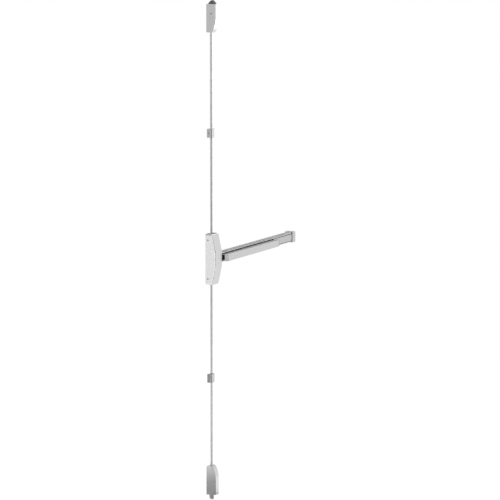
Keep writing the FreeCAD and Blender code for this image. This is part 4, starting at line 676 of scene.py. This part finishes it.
def reflected_only(sheet, strength):
    """A glow that only reflections meet."""
    paint = bpy.data.materials.new(sheet.name)
    paint.use_nodes = True
    paint.cycles.emission_sampling = "NONE"
    tree = paint.node_tree
    tree.nodes.clear()
    light = tree.nodes.new("ShaderNodeEmission")
    light.inputs["Strength"].default_value = strength
    surface = tree.nodes.new("ShaderNodeOutputMaterial")
    tree.links.new(light.outputs[0], surface.inputs["Surface"])
    sheet.data.materials.append(paint)
    sheet.visible_camera = False
    sheet.visible_diffuse = False
    sheet.visible_transmission = False
    sheet.visible_shadow = False


def way(azimuth):
    """The level direction of an azimuth in degrees: 0 along -Y, 90 along +X."""
    turn = math.radians(azimuth)
    return Vector((math.sin(turn), -math.cos(turn), 0))


def board(name, azimuths, heights, distance, strength):
    """An upright board of even glow that only reflections see, between two azimuths and two heights.

    Its width is that of a tangent plane between the two azimuths at its distance from the rods.
    """
    away = way(sum(azimuths) / 2)
    width = 2 * distance * math.tan(math.radians(azimuths[1] - azimuths[0]) / 2)
    centre = away * distance + Vector((0, 0, sum(heights) / 2))
    reflected_only(flat_panel(name, centre, -away, width, heights[1] - heights[0]), strength)


def floor_card(name, azimuths, reaches, strength):
    """A card laid on the floor that only reflections see, between two azimuths and two reaches."""
    start, end = (way(azimuth) for azimuth in azimuths)
    near, far = reaches
    lift = Vector((0, 0, FLOOR_LEVEL + CARD_LIFT))
    corners = (start * near + lift, start * far + lift, end * far + lift, end * near + lift)
    reflected_only(stage_sheet(name, [tuple(corner) for corner in corners]), strength)


# Boards: name, azimuths, heights, distance and strength
BOARDS = (
    ("board_left_rear", (-150, -108), (-2.2, 2.6), 3.4, 0.66),
    ("board_left_front", (-108, -88), (-2.2, 2.6), 3.4, 1.7),
    ("board_behind_camera", (-88, -35), (-1.0, 2.6), 3.4, 0.3),
    ("board_guide_height", (-88, 10), (-0.1, 0.5), 3.2, 0.04),
    ("board_front_left", (-35, 42), (-1.0, 2.6), 3.4, 0.5),
    ("board_far", (92, 142), (0.0, 2.6), 3.6, 0.4),
    ("board_back", (145, 212), (-1.0, 1.6), 5.0, 0.5),
    ("board_high_left", (-158, -105), (2.6, 4.8), 3.4, 0.1),
)
for name, azimuths, heights, distance, strength in BOARDS:
    board(name, azimuths, heights, distance, strength)

# Cards on the floor: name, azimuths, near and far reach, and strength
FLOOR_CARDS = (
    ("card_near_rear", (-230, -155), (0.03, 0.6), 0.4),
    ("card_near_side", (-155, -78), (0.03, 0.6), 0.4),
    ("card_near_front", (-78, 0), (0.03, 0.6), 0.26),
    ("card_near_right", (0, 45), (0.17, 0.6), 0.75),
    ("card_near_gleam", (52, 76), (0.17, 0.8), 1.15),
    ("card_bolt_front", (0, 65), (0.02, 0.165), 0.45),
    ("card_bolt_right", (65, 130), (0.02, 0.165), 0.45),
    ("card_far_rear", (-150, -108), (1.9, 3.4), 0.35),
    ("card_far_stripe", (-108, -88), (1.9, 3.4), 1.7),
    ("card_far_dark", (-88, -35), (1.9, 3.4), 0.05),
    ("card_far_front", (-35, 42), (1.9, 3.4), 0.4),
    ("card_back", (95, 165), (1.2, 8.0), 0.5),
)
for name, azimuths, reaches, strength in FLOOR_CARDS:
    floor_card(name, azimuths, reaches, strength)

# Panels nearer to the device: name, centre, facing, width, height and strength. Some face the
# camera, and some face the camera's image in the door.
TO_CAMERA = (-0.891, -0.454, 0)
TO_CAMERA_IMAGE = (-0.891, 0.454, 0)
PANELS = (
    ("board_gleam", (0.89, -0.49, 0.95), TO_CAMERA_IMAGE, 0.9, 0.72, 2.9),
    ("card_case_top", (0.79, 0.65, 0.38), TO_CAMERA, 0.5, 0.5, 0.05),
    ("board_gleam_low", (0.89, -0.49, 0.46), TO_CAMERA_IMAGE, 0.5, 0.2, 1.2),
    ("card_overhead", (-0.45, 1.05, 2.3), (0.17, -0.4, -0.9), 2.2, 1.8, 0.1),
    ("card_front", (0.747, -0.296, -0.12), TO_CAMERA_IMAGE, 0.55, 1.05, 0.84),
    ("card_crease", (-0.03, -0.33, 0.035), (0, 1, 0), 0.42, 0.23, 0.05),
)
for name, centre, facing, width, height, strength in PANELS:
    reflected_only(flat_panel(name, centre, facing, width, height), strength)

SOFTBOX_WIDTH = 2.0
SOFTBOX_HEIGHT = 2.6
SOFTBOXES = (("key_left", (-3.2, -1.3, 0.2), 105), ("fill_right", (3.2, 0.9, 0.4), 45))
for name, place, power in SOFTBOXES:
    lamp = bpy.data.lights.new(name, "AREA")
    lamp.shape = "RECTANGLE"
    lamp.size = SOFTBOX_WIDTH
    lamp.size_y = SOFTBOX_HEIGHT
    lamp.energy = power
    holder = bpy.data.objects.new(name, lamp)
    bpy.context.scene.collection.objects.link(holder)
    holder.location = place
    holder.rotation_euler = (-Vector(place)).to_track_quat("-Z", "Y").to_euler()
    holder.visible_glossy = False
    holder.visible_camera = False
